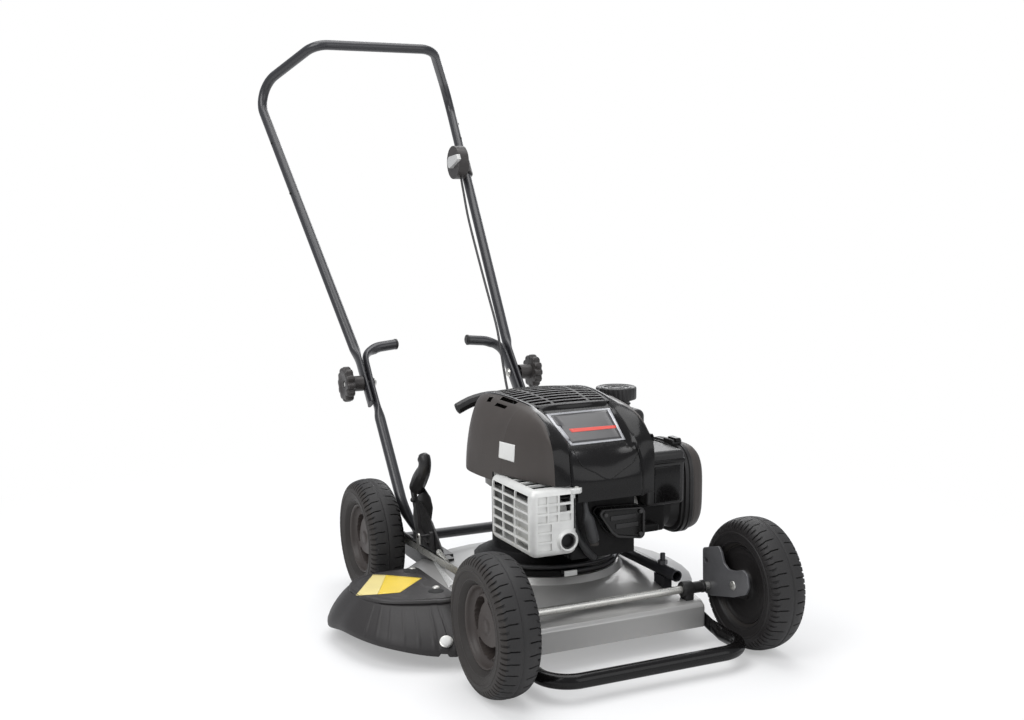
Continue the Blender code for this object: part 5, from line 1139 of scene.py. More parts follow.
def build_guard():
    """The cast guard, its lug and outlet, and the silencer can inside."""
    shell = rounded_block("guard_cage", GUARD_LOW, GUARD_HIGH, 0.0120)
    guard = add_piece("guard_cage", shell, "guard", "root", ["muffler_guard"])
    room = rounded_block("guard_hollow", (-0.1222, -0.1935, 0.1660), (-0.0400, -0.0530, 0.2590),
                         0.0095)
    openings, pads = guard_windows()
    outlet = rod_mesh("guard_outlet_hole", (OUTLET_AT[0], -0.215, OUTLET_AT[1]),
                      (OUTLET_AT[0], -0.185, OUTLET_AT[1]), 0.0118)
    carve(guard, [room, pads, openings, outlet], 38)
    ease_edges(guard, 0.0005, 50)
    lathe("guard_outlet", [(0.0118, -0.1930), (0.0118, -0.2005), (0.0124, -0.2012),
                           (0.0140, -0.2012), (0.0148, -0.2004), (0.0152, -0.1990),
                           (0.0172, -0.1972), (0.0172, -0.1940)],
          "guard", "root", (OUTLET_AT[0], 0, OUTLET_AT[1]), "Y", 64, loop=True)
    lug = rounded([(-0.062, -0.199), (-0.0480, -0.199), (-0.0430, -0.195), (-0.0430, -0.186),
                   (-0.0480, -0.181), (-0.062, -0.181)], 0.004)
    plate("guard_lug", lug, 0.0080, 0.2565, "XY", "guard", "root", 0.0014)
    lathe("guard_lug_screw", [(0.0, 0.2600), (0.0044, 0.2600), (0.0044, 0.2618), (0.0036, 0.2626),
                              (0.0022, 0.2626), (0.0020, 0.2614), (0.0, 0.2614)],
          "zinc", "root", (-0.0505, -0.1900, 0), "Z", 32)
    can = rounded_block("silencer_can", (-0.1170, -0.1850, 0.1700), (-0.0590, -0.1080, 0.2400),
                        0.0110)
    add_piece("silencer_can", can, "can", "root", ["muffler"])
    # A near-black sheet over the can, under the guard's top: painted shade that darkens the top
    # openings.
    shade = [(-0.1205, -0.1920), (-0.0520, -0.1920), (-0.0520, -0.0560), (-0.1205, -0.0560)]
    plate("silencer_shade_plate", shade, 0.0016, 0.2470, "XY", "hollow", "root", 0.0003)
    lathe("silencer_inlet", [(0.0, -0.060), (0.012, -0.060), (0.012, -0.046), (0.016, -0.045),
                             (0.016, -0.042), (0.0, -0.042)],
          "steel", "root", (0, -0.115, 0.205), "X", 32)
    lathe("silencer_outlet", [(0.0095, -0.1880), (0.0095, -0.1985), (0.0108, -0.1985),
                              (0.0108, -0.1880)],
          "dark", "root", (OUTLET_AT[0], 0, OUTLET_AT[1]), "Y", 48, loop=True)
    # A near-black disc inside the outlet: painted shade in its bore.
    lathe("silencer_outlet_back", [(0.0, -0.1918), (0.0098, -0.1918), (0.0098, -0.1900),
                                   (0.0, -0.1900)],
          "hollow", "root", (OUTLET_AT[0], 0, OUTLET_AT[1]), "Y", 48)


build_guard()

# Valve cover, plug lead and hoses

VALVE_OUTLINE = ((-0.0115, 0.2150), (-0.0060, 0.2215), (0.0600, 0.2185), (0.0655, 0.2120),
                 (0.0655, 0.1755), (0.0600, 0.1702), (0.0190, 0.1765), (0.0095, 0.1840))


def shrink(outline, amount):
    """Move the corners of an outline towards its middle."""
    middle = sum((Vector(point) for point in outline), Vector((0.0, 0.0))) / len(outline)
    made = []
    for point in outline:
        arm = Vector(point) - middle
        made.append(tuple(middle + arm * (1 - amount / arm.length)))
    return made


def build_valve_cover():
    """The cast cover in front of the cylinder head, with its rim, pads and screws."""
    outer = rounded(VALVE_OUTLINE, 0.006)
    rim_hole = rounded(shrink(VALVE_OUTLINE, 0.0042), 0.0045)
    plate("valve_cover_flange", rounded(shrink(VALVE_OUTLINE, -0.0022), 0.007), 0.0050, -0.1680,
          "XZ", "block", "root", 0.0008, ["valve_cover"])
    plate("valve_cover_body", outer, 0.0170, -0.1770, "XZ", "gloss", "root", 0.0020)
    plate("valve_cover_rim", outer, 0.0040, -0.1866, "XZ", "black", "root", 0.0010,
          holes=[rim_hole])
    for number, (x, z, w) in enumerate(((0.030, 0.2060, 0.0440), (0.036, 0.1930, 0.0380))):
        soft_box("valve_cover_pad_%d" % number, (x - w / 2, -0.1870, z - 0.0036),
                 (x + w / 2, -0.1850, z + 0.0036), "black", "root", 0.0008)
    for number, (x, z) in enumerate(((0.0000, 0.2125), (0.0590, 0.2120), (0.0590, 0.1775))):
        lathe("valve_cover_screw_%d" % number, [(0.0, -0.1888), (0.0030, -0.1888),
                                                (0.0034, -0.1882), (0.0034, -0.1850),
                                                (0.0, -0.1850)],
              "dark", "root", (x, 0, z), "Y", 12)


def sump_hose(name, thickness, radius, level, ends, count, lifts):
    """A hose round the sump between two angles, lifted over some stretches of its way."""
    line = []
    for k in range(count):
        turn = ends[0] + (ends[1] - ends[0]) * k / (count - 1)
        lift = sum(height * step(start, end, turn) for height, start, end in lifts)
        a = math.radians(turn)
        line.append((radius * math.cos(a), ENGINE_Y + radius * math.sin(a), level + lift))
    tube(name, line, thickness, "hose", "root")


def build_lead():
    """The plug's rubber boot and its lead, and hoses beside the cylinder."""
    boot = spline(((-0.0345, -0.1830, 0.2440), (-0.0350, -0.1890, 0.2300), (-0.0330, -0.1925, 0.2140),
                   (-0.0280, -0.1935, 0.1950), (-0.0225, -0.1925, 0.1780)), 0.003)
    shares = [k / (len(boot) - 1) for k in range(len(boot))]
    radii = [0.0042 + 0.0046 * step(0.30, 0.52, t) - 0.0012 * step(0.9, 1.0, t) for t in shares]
    tube("plug_boot", boot, 1.0, "hose", "root", ["spark_plug_boot", "spark_plug"], radii=radii)
    lathe("plug_boot_end", [(0.0, 0.0), (0.0060, 0.0), (0.0072, 0.002), (0.0060, 0.005), (0.0, 0.006)],
          "rubber", "root", (-0.0222, -0.1922, 0.1715), "Z", 24)
    tube("breather_hose", spline(((-0.0480, -0.1560, 0.2440), (-0.0470, -0.1680, 0.2200),
                                  (-0.0420, -0.1740, 0.1900), (-0.0250, -0.1720, 0.1600),
                                  (-0.0080, -0.1640, 0.1440)), 0.004),
         0.0055, "hose", "root")
    sump_hose("front_hose", 0.0034, 0.1210, 0.1160, (-152, -28), 28,
              ((0.010, -60, -28), (0.008, -130, -152)))
    sump_hose("lower_hose", 0.0028, 0.1240, 0.1085, (-104, -20), 20, ((0.016, -70, -24),))
    loop = spline(((0.062, -0.098, 0.1205), (0.078, -0.090, 0.1330), (0.090, -0.075, 0.1360),
                   (0.094, -0.064, 0.1290), (0.088, -0.078, 0.1180)), 0.003)
    tube("lead_loop", loop, 0.0024, "trim", "root")
    soft_box("hose_tag", (-0.0370, -0.1265, 0.1080), (-0.0160, -0.1235, 0.1165), "white", "root",
             0.0006)


build_valve_cover()
build_lead()

# Air cleaner and fuel tank

CLEANER_AT = (-0.056, 0.2145)
CLEANER_HALF = (0.0670, 0.0705)
CLEANER_POWER = 3.4
SQUIRCLE_SIDES = 120
CAP_SIDES = 168
CAP_RIBS = 28
CAP_RIBBED_FROM = 0.0330
CAP_RIB_DEPTH = 0.0008


def squircle(name, profile, look, body, stands_for):
    """A piece of rounded square section about the air cleaner's line, from (share, x) points."""
    points = []
    for share, x in profile:
        for a in around(SQUIRCLE_SIDES):
            u, w = [math.copysign(abs(c) ** (2 / CLEANER_POWER), c) for c in (math.cos(a), math.sin(a))]
            points.append((x, CLEANER_AT[0] + share * CLEANER_HALF[0] * u,
                           CLEANER_AT[1] + share * CLEANER_HALF[1] * w))
    return mesh_piece(name, points, quads(len(profile), SQUIRCLE_SIDES), look, body, stands_for, 30)


def build_air_cleaner():
    """The intake housing, its dark band, clips and the hinged cover."""
    squircle("cleaner_band", [
        (0.0, 0.1330), (0.78, 0.1330), (0.92, 0.1690), (0.99, 0.1700), (1.00, 0.1712),
        (1.00, 0.1740), (1.04, 0.1752), (1.04, 0.1800), (1.02, 0.1806), (1.02, 0.1826),
        (1.04, 0.1832), (1.04, 0.1890), (1.03, 0.1899), (0.93, 0.1899), (0.88, 0.1860),
        (0.86, 0.1370), (0.0, 0.1370)], "black", "root", ["air_filter_base"])
    squircle("cleaner_cover", [
        (0.0, 0.2148), (0.55, 0.2148), (0.60, 0.2138), (0.66, 0.2138), (0.70, 0.2146),
        (0.80, 0.2138), (0.90, 0.2112), (0.955, 0.2070), (0.985, 0.2010), (0.995, 0.1960),
        (1.000, 0.1950), (1.005, 0.1915), (1.000, 0.1905), (0.945, 0.1905), (0.945, 0.1990),
        (0.88, 0.2072), (0.66, 0.2108), (0.0, 0.2112)], "matt", "air_cover",
        ["air_cleaner_cover"])
    soft_box("cleaner_housing", (0.1000, -0.1325, 0.2000), (0.1700, -0.0100, 0.2850), "black",
             "root", 0.0075, segments=5)
    soft_box("cleaner_housing_lip", (0.1090, -0.1340, 0.2660), (0.1690, -0.0400, 0.2720), "gloss",
             "root", 0.0012)
    soft_box("cleaner_housing_step", (0.1140, -0.1340, 0.2060), (0.1600, -0.1200, 0.2620), "gloss",
             "root", 0.0012)
    soft_box("cleaner_neck", (0.0960, -0.1160, 0.1560), (0.1440, -0.0300, 0.2040), "block", "root",
             0.0050, segments=4)
    soft_box("cleaner_shelf", (0.0700, -0.1420, 0.1640), (0.1180, -0.0600, 0.1760), "block", "root",
             0.0030)
    for number, (x, y, z, w) in enumerate(((0.1560, -0.0300, 0.2890, 0.020),
                                           (0.1800, -0.0760, 0.2880, 0.018))):
        soft_box("cleaner_clip_%d" % number, (x - w / 2, y - 0.014, z - 0.006),
                 (x + w / 2, y + 0.014, z + 0.0045), "black", "root", 0.0020)
        soft_box("cleaner_clip_tongue_%d" % number, (x - w / 2 + 0.004, y - 0.018, z + 0.001),
                 (x + w / 2 - 0.004, y + 0.006, z + 0.0075), "gloss", "root", 0.0015)


def build_tank():
    """The fuel tank with its neck, and the ringed cap."""
    tank = add_piece("tank_body", rounded_block("tank_body", (0.0760, 0.0200, 0.2220),
                                                (0.1890, 0.1290, 0.3240), 0.0120),
                     "black", "root", ["fuel_tank"])
    carve(tank, [rod_mesh("tank_cowl_room", (0, ENGINE_Y, 0.20), (0, ENGINE_Y, 0.35), 0.1285, 96)], 40)
    lathe("tank_neck", [(0.0, 0.3200), (0.0300, 0.3200), (0.0300, 0.3235), (0.0240, 0.3260),
                        (0.0225, 0.3290), (0.0225, 0.3320), (0.0240, 0.3325), (0.0240, 0.3340),
                        (0.0225, 0.3345), (0.0225, 0.3392), (0.0, 0.3392)],
          "black", "root", (*TANK_CAP_AT, 0), "Z", 64)
    profile = [(0.0, 0.3592), (0.0085, 0.3592), (0.0100, 0.3604), (0.0125, 0.3604),
               (0.0140, 0.3592), (0.0195, 0.3592), (0.0210, 0.3606), (0.0240, 0.3606),
               (0.0255, 0.3594), (0.0285, 0.3602), (0.0312, 0.3614), (0.0328, 0.3606),
               (0.0335, 0.3590), (0.0335, 0.3440), (0.0328, 0.3412), (0.0300, 0.3402),
               (0.0, 0.3402)]
    points = []
    for radius, z in profile:
        for a in around(CAP_SIDES):
            rib = (0.5 + 0.5 * math.cos(a * CAP_RIBS)) ** 3 if radius > CAP_RIBBED_FROM else 0.0
            r = radius - CAP_RIB_DEPTH * rib
            points.append((TANK_CAP_AT[0] + r * math.cos(a), TANK_CAP_AT[1] + r * math.sin(a), z))
    mesh_piece("ringed_fuel_cap", points, quads(len(profile), CAP_SIDES), "black", "fuel_cap",
               ["fuel_cap"], 35)


build_air_cleaner()
build_tank()

# Side chute

CHUTE_LOOP = (
    (-0.190, 0.140), (-0.250, 0.140), (-0.286, 0.136), (-0.316, 0.122), (-0.336, 0.098),
    (-0.347, 0.062), (-0.3455, 0.020), (-0.342, -0.018), (-0.329, -0.062), (-0.310, -0.094),
    (-0.275, -0.123), (-0.225, -0.150), (-0.190, -0.150),
)
CHUTE_ROOT_X = -0.190
# Shares of the chute's height where its skirt ends and its raised lip starts, and how far the
# lip reaches there
SKIRT_SHARE = 0.10
LIP_SHARE = 0.875
LIP_REACH = 0.766
# Each ring: its share of the height, and how far it reaches as a share of the outline
CHUTE_RINGS = ((0.0, 1.0), (0.04, 1.002), (SKIRT_SHARE, 1.002), (0.125, 0.988), (0.25, 0.972),
               (0.38, 0.950), (0.50, 0.920), (0.62, 0.886), (0.72, 0.850), (0.80, 0.812),
               (0.845, 0.782), (LIP_SHARE, LIP_REACH), (0.885, 0.756), (0.905, 0.752),
               (0.950, 0.752), (0.968, 0.744), (0.975, 0.720), (0.968, 0.700), (0.975, 0.690),
               (0.990, 0.680), (1.0, 0.640), (1.0, 0.45), (1.0, 0.22), (1.0, 0.0))
CHUTE_LOW = 0.022
CHUTE_HIGH = 0.0835
CHUTE_WALL = 0.0024
# How much the outer side and the front draw in below the lip, and where the outer side starts
SIDE_DRAW = 0.180
FRONT_DRAW = 0.480
OUTER_ARM = (-0.050, -0.130)
# The lower edge rises towards its outer end, and it has a notch at the front
FOOT_RISE = 0.013
FOOT_RISE_X = (-0.236, -0.345)
FOOT_RISE_Y = (0.080, -0.020)
NOTCH_RISE = 0.0045
NOTCH_FRONT = -0.130
NOTCH_EDGES = ((-0.2330, -0.2345), (-0.2460, -0.2445))
RIB_FIRST = 0.3225
RIB_PITCH = 0.0225
RIB_COUNT = 10
RIB_REACH = 0.007
RIB_WIDTHS = (0.0030, 0.0008)
RIB_ENDS = ((0.14, 0.22), (0.86, 0.80))
# Pixels of the photograph: the films on the chute, its round cap and the seats of its bolts, where
# near-black discs are painted shade
CHUTE_FILMS = (
    ("chute_film_pale", "pale_yellow", ((355.8, 595.6), (373.0, 574.8), (386.0, 575.2), (377.8, 594.4))),
    ("chute_film", "yellow", ((377.8, 594.4), (386.0, 575.2), (421.8, 578.2), (400.0, 592.6))),
)
CHUTE_CAP_PIXEL = (446.3, 641.5)
CHUTE_SEAT_PIXELS = ((411.0, 571.0), (436.0, 591.0))


def chute_foot(spot):
    """Height of the chute's lower edge, raised towards its outer end and at a notch."""
    low = CHUTE_LOW + FOOT_RISE * step(*FOOT_RISE_X, spot.x) * step(*FOOT_RISE_Y, spot.y)
    if spot.y < NOTCH_FRONT:
        low += NOTCH_RISE * step(*NOTCH_EDGES[0], spot.x) * step(*NOTCH_EDGES[1], spot.x)
    return low


def chute_reach(share, reach, arm):
    """How far a ring of the chute reaches sideways and forwards, as shares of its outline."""
    if share < SKIRT_SHARE:
        return reach, reach
    climb = share_between(SKIRT_SHARE, LIP_SHARE, share)
    above = reach / LIP_REACH if share > LIP_SHARE else 1.0
    wide = (1.0 - SIDE_DRAW * climb ** 1.35) * above
    deep = (1.0 - FRONT_DRAW * climb ** 1.60) * above
    outer = step(*OUTER_ARM, arm.x)
    return reach * (1 - outer) + wide * outer, deep if arm.y < 0 else reach


def build_chute():
    """The discharge chute, with a raised lip round its top and ribs down its side."""
    corners = [Vector((x, y, 0)) for x, y in CHUTE_LOOP]
    loop = [corners[0], *spline(corners[1:-1], 0.0016), corners[-1]]
    run = [0.0]
    for a, b in zip(loop, loop[1:]):
        run.append(run[-1] + (b - a).length)
    marks = [RIB_FIRST + RIB_PITCH * k for k in range(RIB_COUNT)]
    anchor = Vector((CHUTE_ROOT_X, 0.0, 0.0))
    points = []
    for share, reach in CHUTE_RINGS:
        for spot, far in zip(loop, run):
            rib = RIB_REACH * max(step(*RIB_WIDTHS, abs(far - m)) for m in marks)
            rib *= step(*RIB_ENDS[0], share) * step(*RIB_ENDS[1], share)
            arm = spot - anchor
            wide, deep = chute_reach(share, reach, arm)
            place = anchor + Vector((arm.x * (wide + rib), arm.y * (deep + rib), 0))
            place.x = min(place.x, CHUTE_ROOT_X)
            foot = chute_foot(spot)
            place.z = foot + (CHUTE_HIGH - foot) * share
            points.append(place)
    chute = mesh_piece("chute_moulding", points, quads(len(CHUTE_RINGS), len(loop), False, False),
                       "chute", "root", ["side_chute"], 30)
    thicken(chute, CHUTE_WALL, 1.0)
    return chute


def button(name, spot, normal, radius, height, look, body):
    """A domed round cap on a surface."""
    sides = 40
    profile = [(0.0, height), (0.45, height * 0.97), (0.75, height * 0.82), (0.92, height * 0.55),
               (1.0, height * 0.25), (1.0, -0.001), (0.0, -0.001)]
    turn = Vector(normal).to_track_quat("Z", "Y").to_matrix()
    points = []
    for share, level in profile:
        for a in around(sides):
            local = Vector((radius * share * math.cos(a), radius * share * math.sin(a), level))
            points.append(Vector(spot) + turn @ local)
    return mesh_piece(name, points, quads(len(profile), sides), look, body, (), 40)


chute_skin = Surface(build_chute())
for name, look, corners in CHUTE_FILMS:
    film(name, chute_skin, corners, look)
cap_seat = chute_skin.seen(*CHUTE_CAP_PIXEL)
button("chute_cap", *cap_seat, 0.0084, 0.0038, "white", "root")
button("chute_cap_washer", *cap_seat, 0.0096, 0.0012, "zinc", "root")
# Near-black discs in the bolt seats: painted shade.
for number, pixel in enumerate(CHUTE_SEAT_PIXELS):
    button("chute_seat_%d" % number, *chute_skin.seen(*pixel), 0.0120, 0.0010, "hollow", "root")

# Tubes


def swept(name, path, radius, look, body, stands_for, press, sides=36):
    """A round tube swept along a path, its points moved by a press."""
    points = []
    across = (path[1] - path[0]).normalized().cross(Vector((0.3, 0.1, 0.9))).normalized()
    for number, spot in enumerate(path):
        before = path[max(0, number - 1)]
        after = path[min(len(path) - 1, number + 1)]
        along = (after - before).normalized()
        across = (across - along * across.dot(along)).normalized()
        other = along.cross(across)
        for a in around(sides):
            points.append(spot + across * radius * math.cos(a) + other * radius * math.sin(a))
    points = [press(p) for p in points]
    return mesh_piece(name, points, capped(len(path), sides), look, body, stands_for, 40)


TUBE_RADIUS = 0.0095
FOLD = (0.4517, 0.3365)
LOWER_X = 0.141
UPPER_X = 0.1516
UPPER_BEND = (0.2105, 0.9264, 0.8846)
TOP_BEND = (0.1242, 0.7817, 0.9649)
LOWER_KNEE = (0.145, 0.288, 0.146)
FLAT = 0.010
FLAT_RUN = 0.048
FLAT_EASE = 0.028
FLAT_SPREAD = 0.35
FLAT_FROM_X = 0.115
TUBE_STEP = 0.006
FOOT_X = 0.1305
FOOT_FLAT = 0.004
FOOT_TOP = 0.098
FOOT_EASE_TOP = 0.126
FOOT_SLANT = 0.30
KNOB_SIDES = 144
KNOB_LOBES = 12
KNOB_LOBE_DEPTH = 0.0044
KNOB_LOBED_RADII = (0.024, 0.030)
# Each near-black spot on the upper tube, painted shade in a hole: its side, its share of the way up, and
# the way that it faces
TUBE_HOLE_SHADES = (
    (LEFT, 0.883, (0.94, -0.20, 0.15)),
    (LEFT, 0.820, (0.30, -0.90, 0.25)),
    (RIGHT, 0.800, (-0.94, -0.25, 0.20)),
    (RIGHT, 0.620, (-0.94, -0.25, 0.20)),
)


def flattened(side, centre_x, middle, direction, full):
    """A press that flattens a tube near the fold."""
    share = FLAT / (2 * TUBE_RADIUS)

    def press(spot):
        run = (spot - middle).dot(direction)
        if abs(spot.x) < FLAT_FROM_X or abs(run) > full + FLAT_EASE or spot.x * side < 0:
            return spot
        weight = step(full + FLAT_EASE, full, abs(run))
        across = spot.x - side * centre_x
        line = middle + direction * run
        offset = Vector((0.0, spot.y - line.y, spot.z - line.z)) * (1.0 + FLAT_SPREAD * weight)
        return Vector((side * centre_x + across * (1.0 - weight * (1.0 - share)),
                       line.y + offset.y, line.z + offset.z))
    return press


def foot_press(side):
    """A press that flattens the foot of a lower tube."""
    share = FOOT_FLAT / (2 * TUBE_RADIUS)

    def press(spot):
        weight = share_between(FOOT_EASE_TOP, FOOT_TOP, spot.z)
        centre = side * (FOOT_X + max(0.0, spot.z - FOOT_TOP) * FOOT_SLANT)
        moved = spot.copy()
        moved.x = centre + (spot.x - centre) * (1.0 - weight * (1.0 - share))
        return moved
    return press


def build_lower_tube(side_name, side):
    """A lower handle tube, with its flat foot, its flat at the fold and its hook."""
    corners = [(FOOT_X, 0.275, 0.052), (FOOT_X, 0.262, 0.090), LOWER_KNEE, (LOWER_X, *FOLD),
               (0.136, 0.500, 0.392), (0.072, 0.503, 0.398)]
    path = stations(fillet(corners, (0, 0.030, 0.060, 0, 0.040, 0), 16), TUBE_STEP)
    path = [Vector((side * p.x, p.y, p.z)) for p in path]
    run = (Vector((LOWER_X, *FOLD)) - Vector(LOWER_KNEE)).normalized()
    direction = Vector((0.0, run.y, run.z)).normalized()
    flat = flattened(side, LOWER_X, Vector((side * LOWER_X, *FOLD)), direction, FLAT_RUN + 0.002)
    foot = foot_press(side)
    swept("lower_tube_" + side_name, path, TUBE_RADIUS, "tube", "root",
          ["lower_handle_" + side_name], lambda p: flat(foot(p)))
    end = path[-1]
    profile = [(0.0, 0.0014), (0.0066, 0.0014), (0.0072, 0.0), (0.0090, 0.0), (0.0100, -0.0008),
               (0.0101, -0.0040), (0.0080, -0.0044), (0.0, -0.0044)]
    lathe("hook_plug_" + side_name, [(radius, -side * (height + 0.0016)) for radius, height in profile],
          "black", "root", (end.x, end.y, end.z), "X", 32)


def upper_path():
    """The user's left half of the upper handle's middle line, from its lower end to the top."""
    fold = Vector((UPPER_X, *FOLD))
    bend = Vector(UPPER_BEND)
    direction = (bend - fold).normalized()
    flat = Vector((0.0, direction.y, direction.z)).normalized()
    flat_end = fold + flat * FLAT_RUN
    tail = fold - flat * 0.045
    top = Vector(TOP_BEND)
    start = flat_end + (bend - flat_end).normalized() * (FLAT_EASE + 0.004)
    path = fillet((tail, fold, flat_end, start, bend, top, Vector((0.0, top.y, top.z))),
                  (0, 0, 0, 0, 0.050, 0.045, 0), 20)
    return stations(path, TUBE_STEP), flat


def build_upper_tube():
    """The upper handle, one bent tube with both ends pressed flat."""
    half, flat = upper_path()
    press_left, press_right = [
        flattened(side, UPPER_X, Vector((side * UPPER_X, *FOLD)), flat, FLAT_RUN)
        for side in (LEFT, RIGHT)]
    swept("upper_tube", half + mirrored(half)[-2::-1], TUBE_RADIUS, "tube", "upper_handle",
          ["upper_handle"], lambda p: press_left(press_right(p)))
    for number, (side, share, out) in enumerate(TUBE_HOLE_SHADES):
        low = Vector((side * UPPER_X, *FOLD))
        high = Vector((side * UPPER_BEND[0], *UPPER_BEND[1:]))
        axis = (high - low).normalized()
        out = Vector(out)
        out = (out - axis * out.dot(axis)).normalized()
        spot = low.lerp(high, share) + out * (TUBE_RADIUS - 0.0008)
        # A near-black dot: painted shade in the tube's hole.
        button("tube_hole_shade_%d" % number, spot, out, 0.0030, 0.0014, "hollow", "upper_handle")


def build_knob(side_name, side):
    """A lobed clamp knob with a hollow middle."""
    profile = [(0.0140, 0.1572), (0.0140, 0.1760), (0.0150, 0.1785), (0.0262, 0.1785),
               (0.0300, 0.1792), (0.0318, 0.1812), (0.0320, 0.1835), (0.0320, 0.1890),
               (0.0316, 0.1915), (0.0296, 0.1938), (0.0255, 0.1945), (0.0180, 0.1940),
               (0.0150, 0.1925), (0.0100, 0.1915), (0.0068, 0.1915), (0.0058, 0.1900),
               (0.0058, 0.1860), (0.0, 0.1860)]
    points = []
    for radius, x in profile:
        for a in around(KNOB_SIDES):
            gap = (0.5 - 0.5 * math.cos(KNOB_LOBES * a)) ** 2.2
            r = radius - KNOB_LOBE_DEPTH * gap * step(*KNOB_LOBED_RADII, radius)
            points.append((side * x, FOLD[0] + r * math.cos(a), FOLD[1] + r * math.sin(a)))
    mesh_piece("lobed_knob_" + side_name, points, quads(len(profile), KNOB_SIDES), "cover",
               "knob_" + side_name, ["knob_" + side_name], 35)


for side_name, side in SIDES:
    build_lower_tube(side_name, side)
    build_knob(side_name, side)
build_upper_tube()

# Height lever's grip

GRIP_X = -0.149
GRIP_LINE = ((0.2060, 0.1865), (0.1950, 0.2000), (0.1780, 0.2150), (0.1640, 0.2290),
             (0.1600, 0.2420), (0.1680, 0.2530))
GRIP_SIDES = 40
GRIP_SWELL = 0.0138
GRIP_WAVE = 0.0022
GRIP_HALF = 0.0122
# Shares of the grip's length where its lower end rounds, its upper end narrows, and its ridges
# start and end
GRIP_ROUNDING = (-0.04, 0.05)
GRIP_NARROWING = (0.93, 1.0)
RIDGES_START = (0.08, 0.2)
RIDGES_END = (0.72, 0.6)
RIDGE_COUNT = 10
RIDGE_DEPTH = 0.0011


def build_grip():
    """A thick wavy grip with ridges along it."""
    middle = spline([(GRIP_X, y, z) for y, z in GRIP_LINE], 0.0012)
    count = len(middle)
    points = []
    for number, spot in enumerate(middle):
        t = number / (count - 1)
        along = (middle[min(count - 1, number + 1)] - middle[max(0, number - 1)]).normalized()
        other = along.cross(Vector((1, 0, 0))).normalized()
        swell = GRIP_SWELL + GRIP_WAVE * math.sin(math.pi * t * 2.0 - 0.4)
        swell *= step(*GRIP_ROUNDING, t) * (1 - 0.35 * step(*GRIP_NARROWING, t))
        ridged = step(*RIDGES_START, t) * step(*RIDGES_END, t)
        for a in around(GRIP_SIDES):
            dip = RIDGE_DEPTH * (0.5 + 0.5 * math.cos(RIDGE_COUNT * a)) * ridged
            wide = (GRIP_HALF - dip * 0.6) * min(1.0, swell / GRIP_SWELL)
            points.append(spot + Vector((1, 0, 0)) * math.cos(a) * wide
                          + other * math.sin(a) * (swell - dip))
    mesh_piece("wavy_grip", points, capped(count, GRIP_SIDES), "black", "height_lever",
               ["lever_grip"], 35)
    button("lever_stud", (-0.1530, 0.2060, 0.1700), (-1, -0.1, 0), 0.0045, 0.0060, "dark",
           "height_lever")


build_grip()

# Deck

# The front beam's half width in the scene and in the solid, where it starts to be drawn in, and
# its rear edge
BEAM_HALF = 0.152
SOLID_BEAM_HALF = 0.168
BEAM_PLAIN = 0.147
BEAM_REAR = -0.140
BEAM_FOOT = 0.031
BEAM_ROUNDING = 0.0060
BEAM_MARGIN = 0.0002
STRAP_PIXELS = ((431, 558), (436, 562), (455, 584), (449, 588))


def beam_edge(edge):
    """Whether an edge is on the outside of the front beam's ends."""
    low, high = [v.co for v in edge.verts]
    if min(abs(low.x), abs(high.x)) < BEAM_HALF - BEAM_MARGIN or max(low.y, high.y) > BEAM_REAR:
        return False
    if len(edge.link_faces) != 2 or max(low.z, high.z) < BEAM_FOOT:
        return False
    return edge.calc_face_angle(0.0) > math.radians(25)


def build_deck_pressing():
    """The deck's own form with its front beam drawn in and the beam's ends rounded."""
    bm = bmesh.new()
    bm.from_mesh(nodes["deck_shell"].data)
    bmesh.ops.translate(bm, vec=-SHIFT, verts=bm.verts)
    bmesh.ops.remove_doubles(bm, verts=bm.verts, dist=WELD)
    bmesh.ops.dissolve_limit(bm, angle_limit=math.radians(0.6), verts=bm.verts, edges=bm.edges)
    for vertex in bm.verts:
        reach = abs(vertex.co.x)
        if vertex.co.y > BEAM_REAR or reach < BEAM_PLAIN:
            continue
        pull = (BEAM_HALF - BEAM_PLAIN) / (SOLID_BEAM_HALF - BEAM_PLAIN)
        moved = BEAM_PLAIN + (reach - BEAM_PLAIN) * pull
        if reach > SOLID_BEAM_HALF + BEAM_MARGIN:
            moved = reach - (SOLID_BEAM_HALF - BEAM_HALF)
        vertex.co.x = math.copysign(moved, vertex.co.x)
    edges = [edge for edge in bm.edges if beam_edge(edge)]
    bmesh.ops.bevel(bm, geom=edges, offset=BEAM_ROUNDING, segments=4, profile=0.5,
                    affect="EDGES", clamp_overlap=True)
    bmesh.ops.triangulate(bm, faces=bm.faces)
    mesh = baked("deck_pressing", bm)
    smooth(mesh, 60)
    deck = add_piece("deck_pressing", mesh, "deck", "root", ["deck_shell"])
    ease_edges(deck, 0.0012, 34)
    return deck


film("deck_strap", Surface(build_deck_pressing()), STRAP_PIXELS, "silver", 0.0012)

# Starter grip's open ends

STARTER_AT = (-0.030, 0.155, 0.3269)
MOUTH_OUT = 0.0622

# Near-black discs in the grip's open ends: painted shade inside them.
for side_name, side in SIDES:
    spot = (STARTER_AT[0] + side * MOUTH_OUT, *STARTER_AT[1:])
    button("grip_mouth_" + side_name, spot, (side * 0.926, 0.0, -0.3770), 0.0074, 0.0006, "hollow",
           "starter_handle")

# Front bumper, cranks and bushes

BUMPER_X = 0.159
BUMPER_FRONT_Y = -0.330
BUMPER_BEND_Y = -0.262
BUMPER_Z = 0.028
BUMPER_RADIUS = 0.0108
STRIP_THICKNESS = 0.006
STRIP_IN = 0.0035
STRIP_BEND_Y = -0.232
PRESS_RUN = (-0.258, -0.234)
FRONT_AXLE_AT = (-0.195, 0.084)
CRANK_X = 0.1765
CRANK_OUTLINE = (
    (-0.1765, 0.1390), (-0.2195, 0.1515), (-0.2275, 0.1440), (-0.2345, 0.1290), (-0.2470, 0.1225),
    (-0.2620, 0.1240), (-0.2840, 0.1310), (-0.2955, 0.1265), (-0.3000, 0.1080), (-0.2930, 0.0955),
    (-0.2620, 0.0830), (-0.2010, 0.0690), (-0.1840, 0.0695), (-0.1785, 0.0800),
)


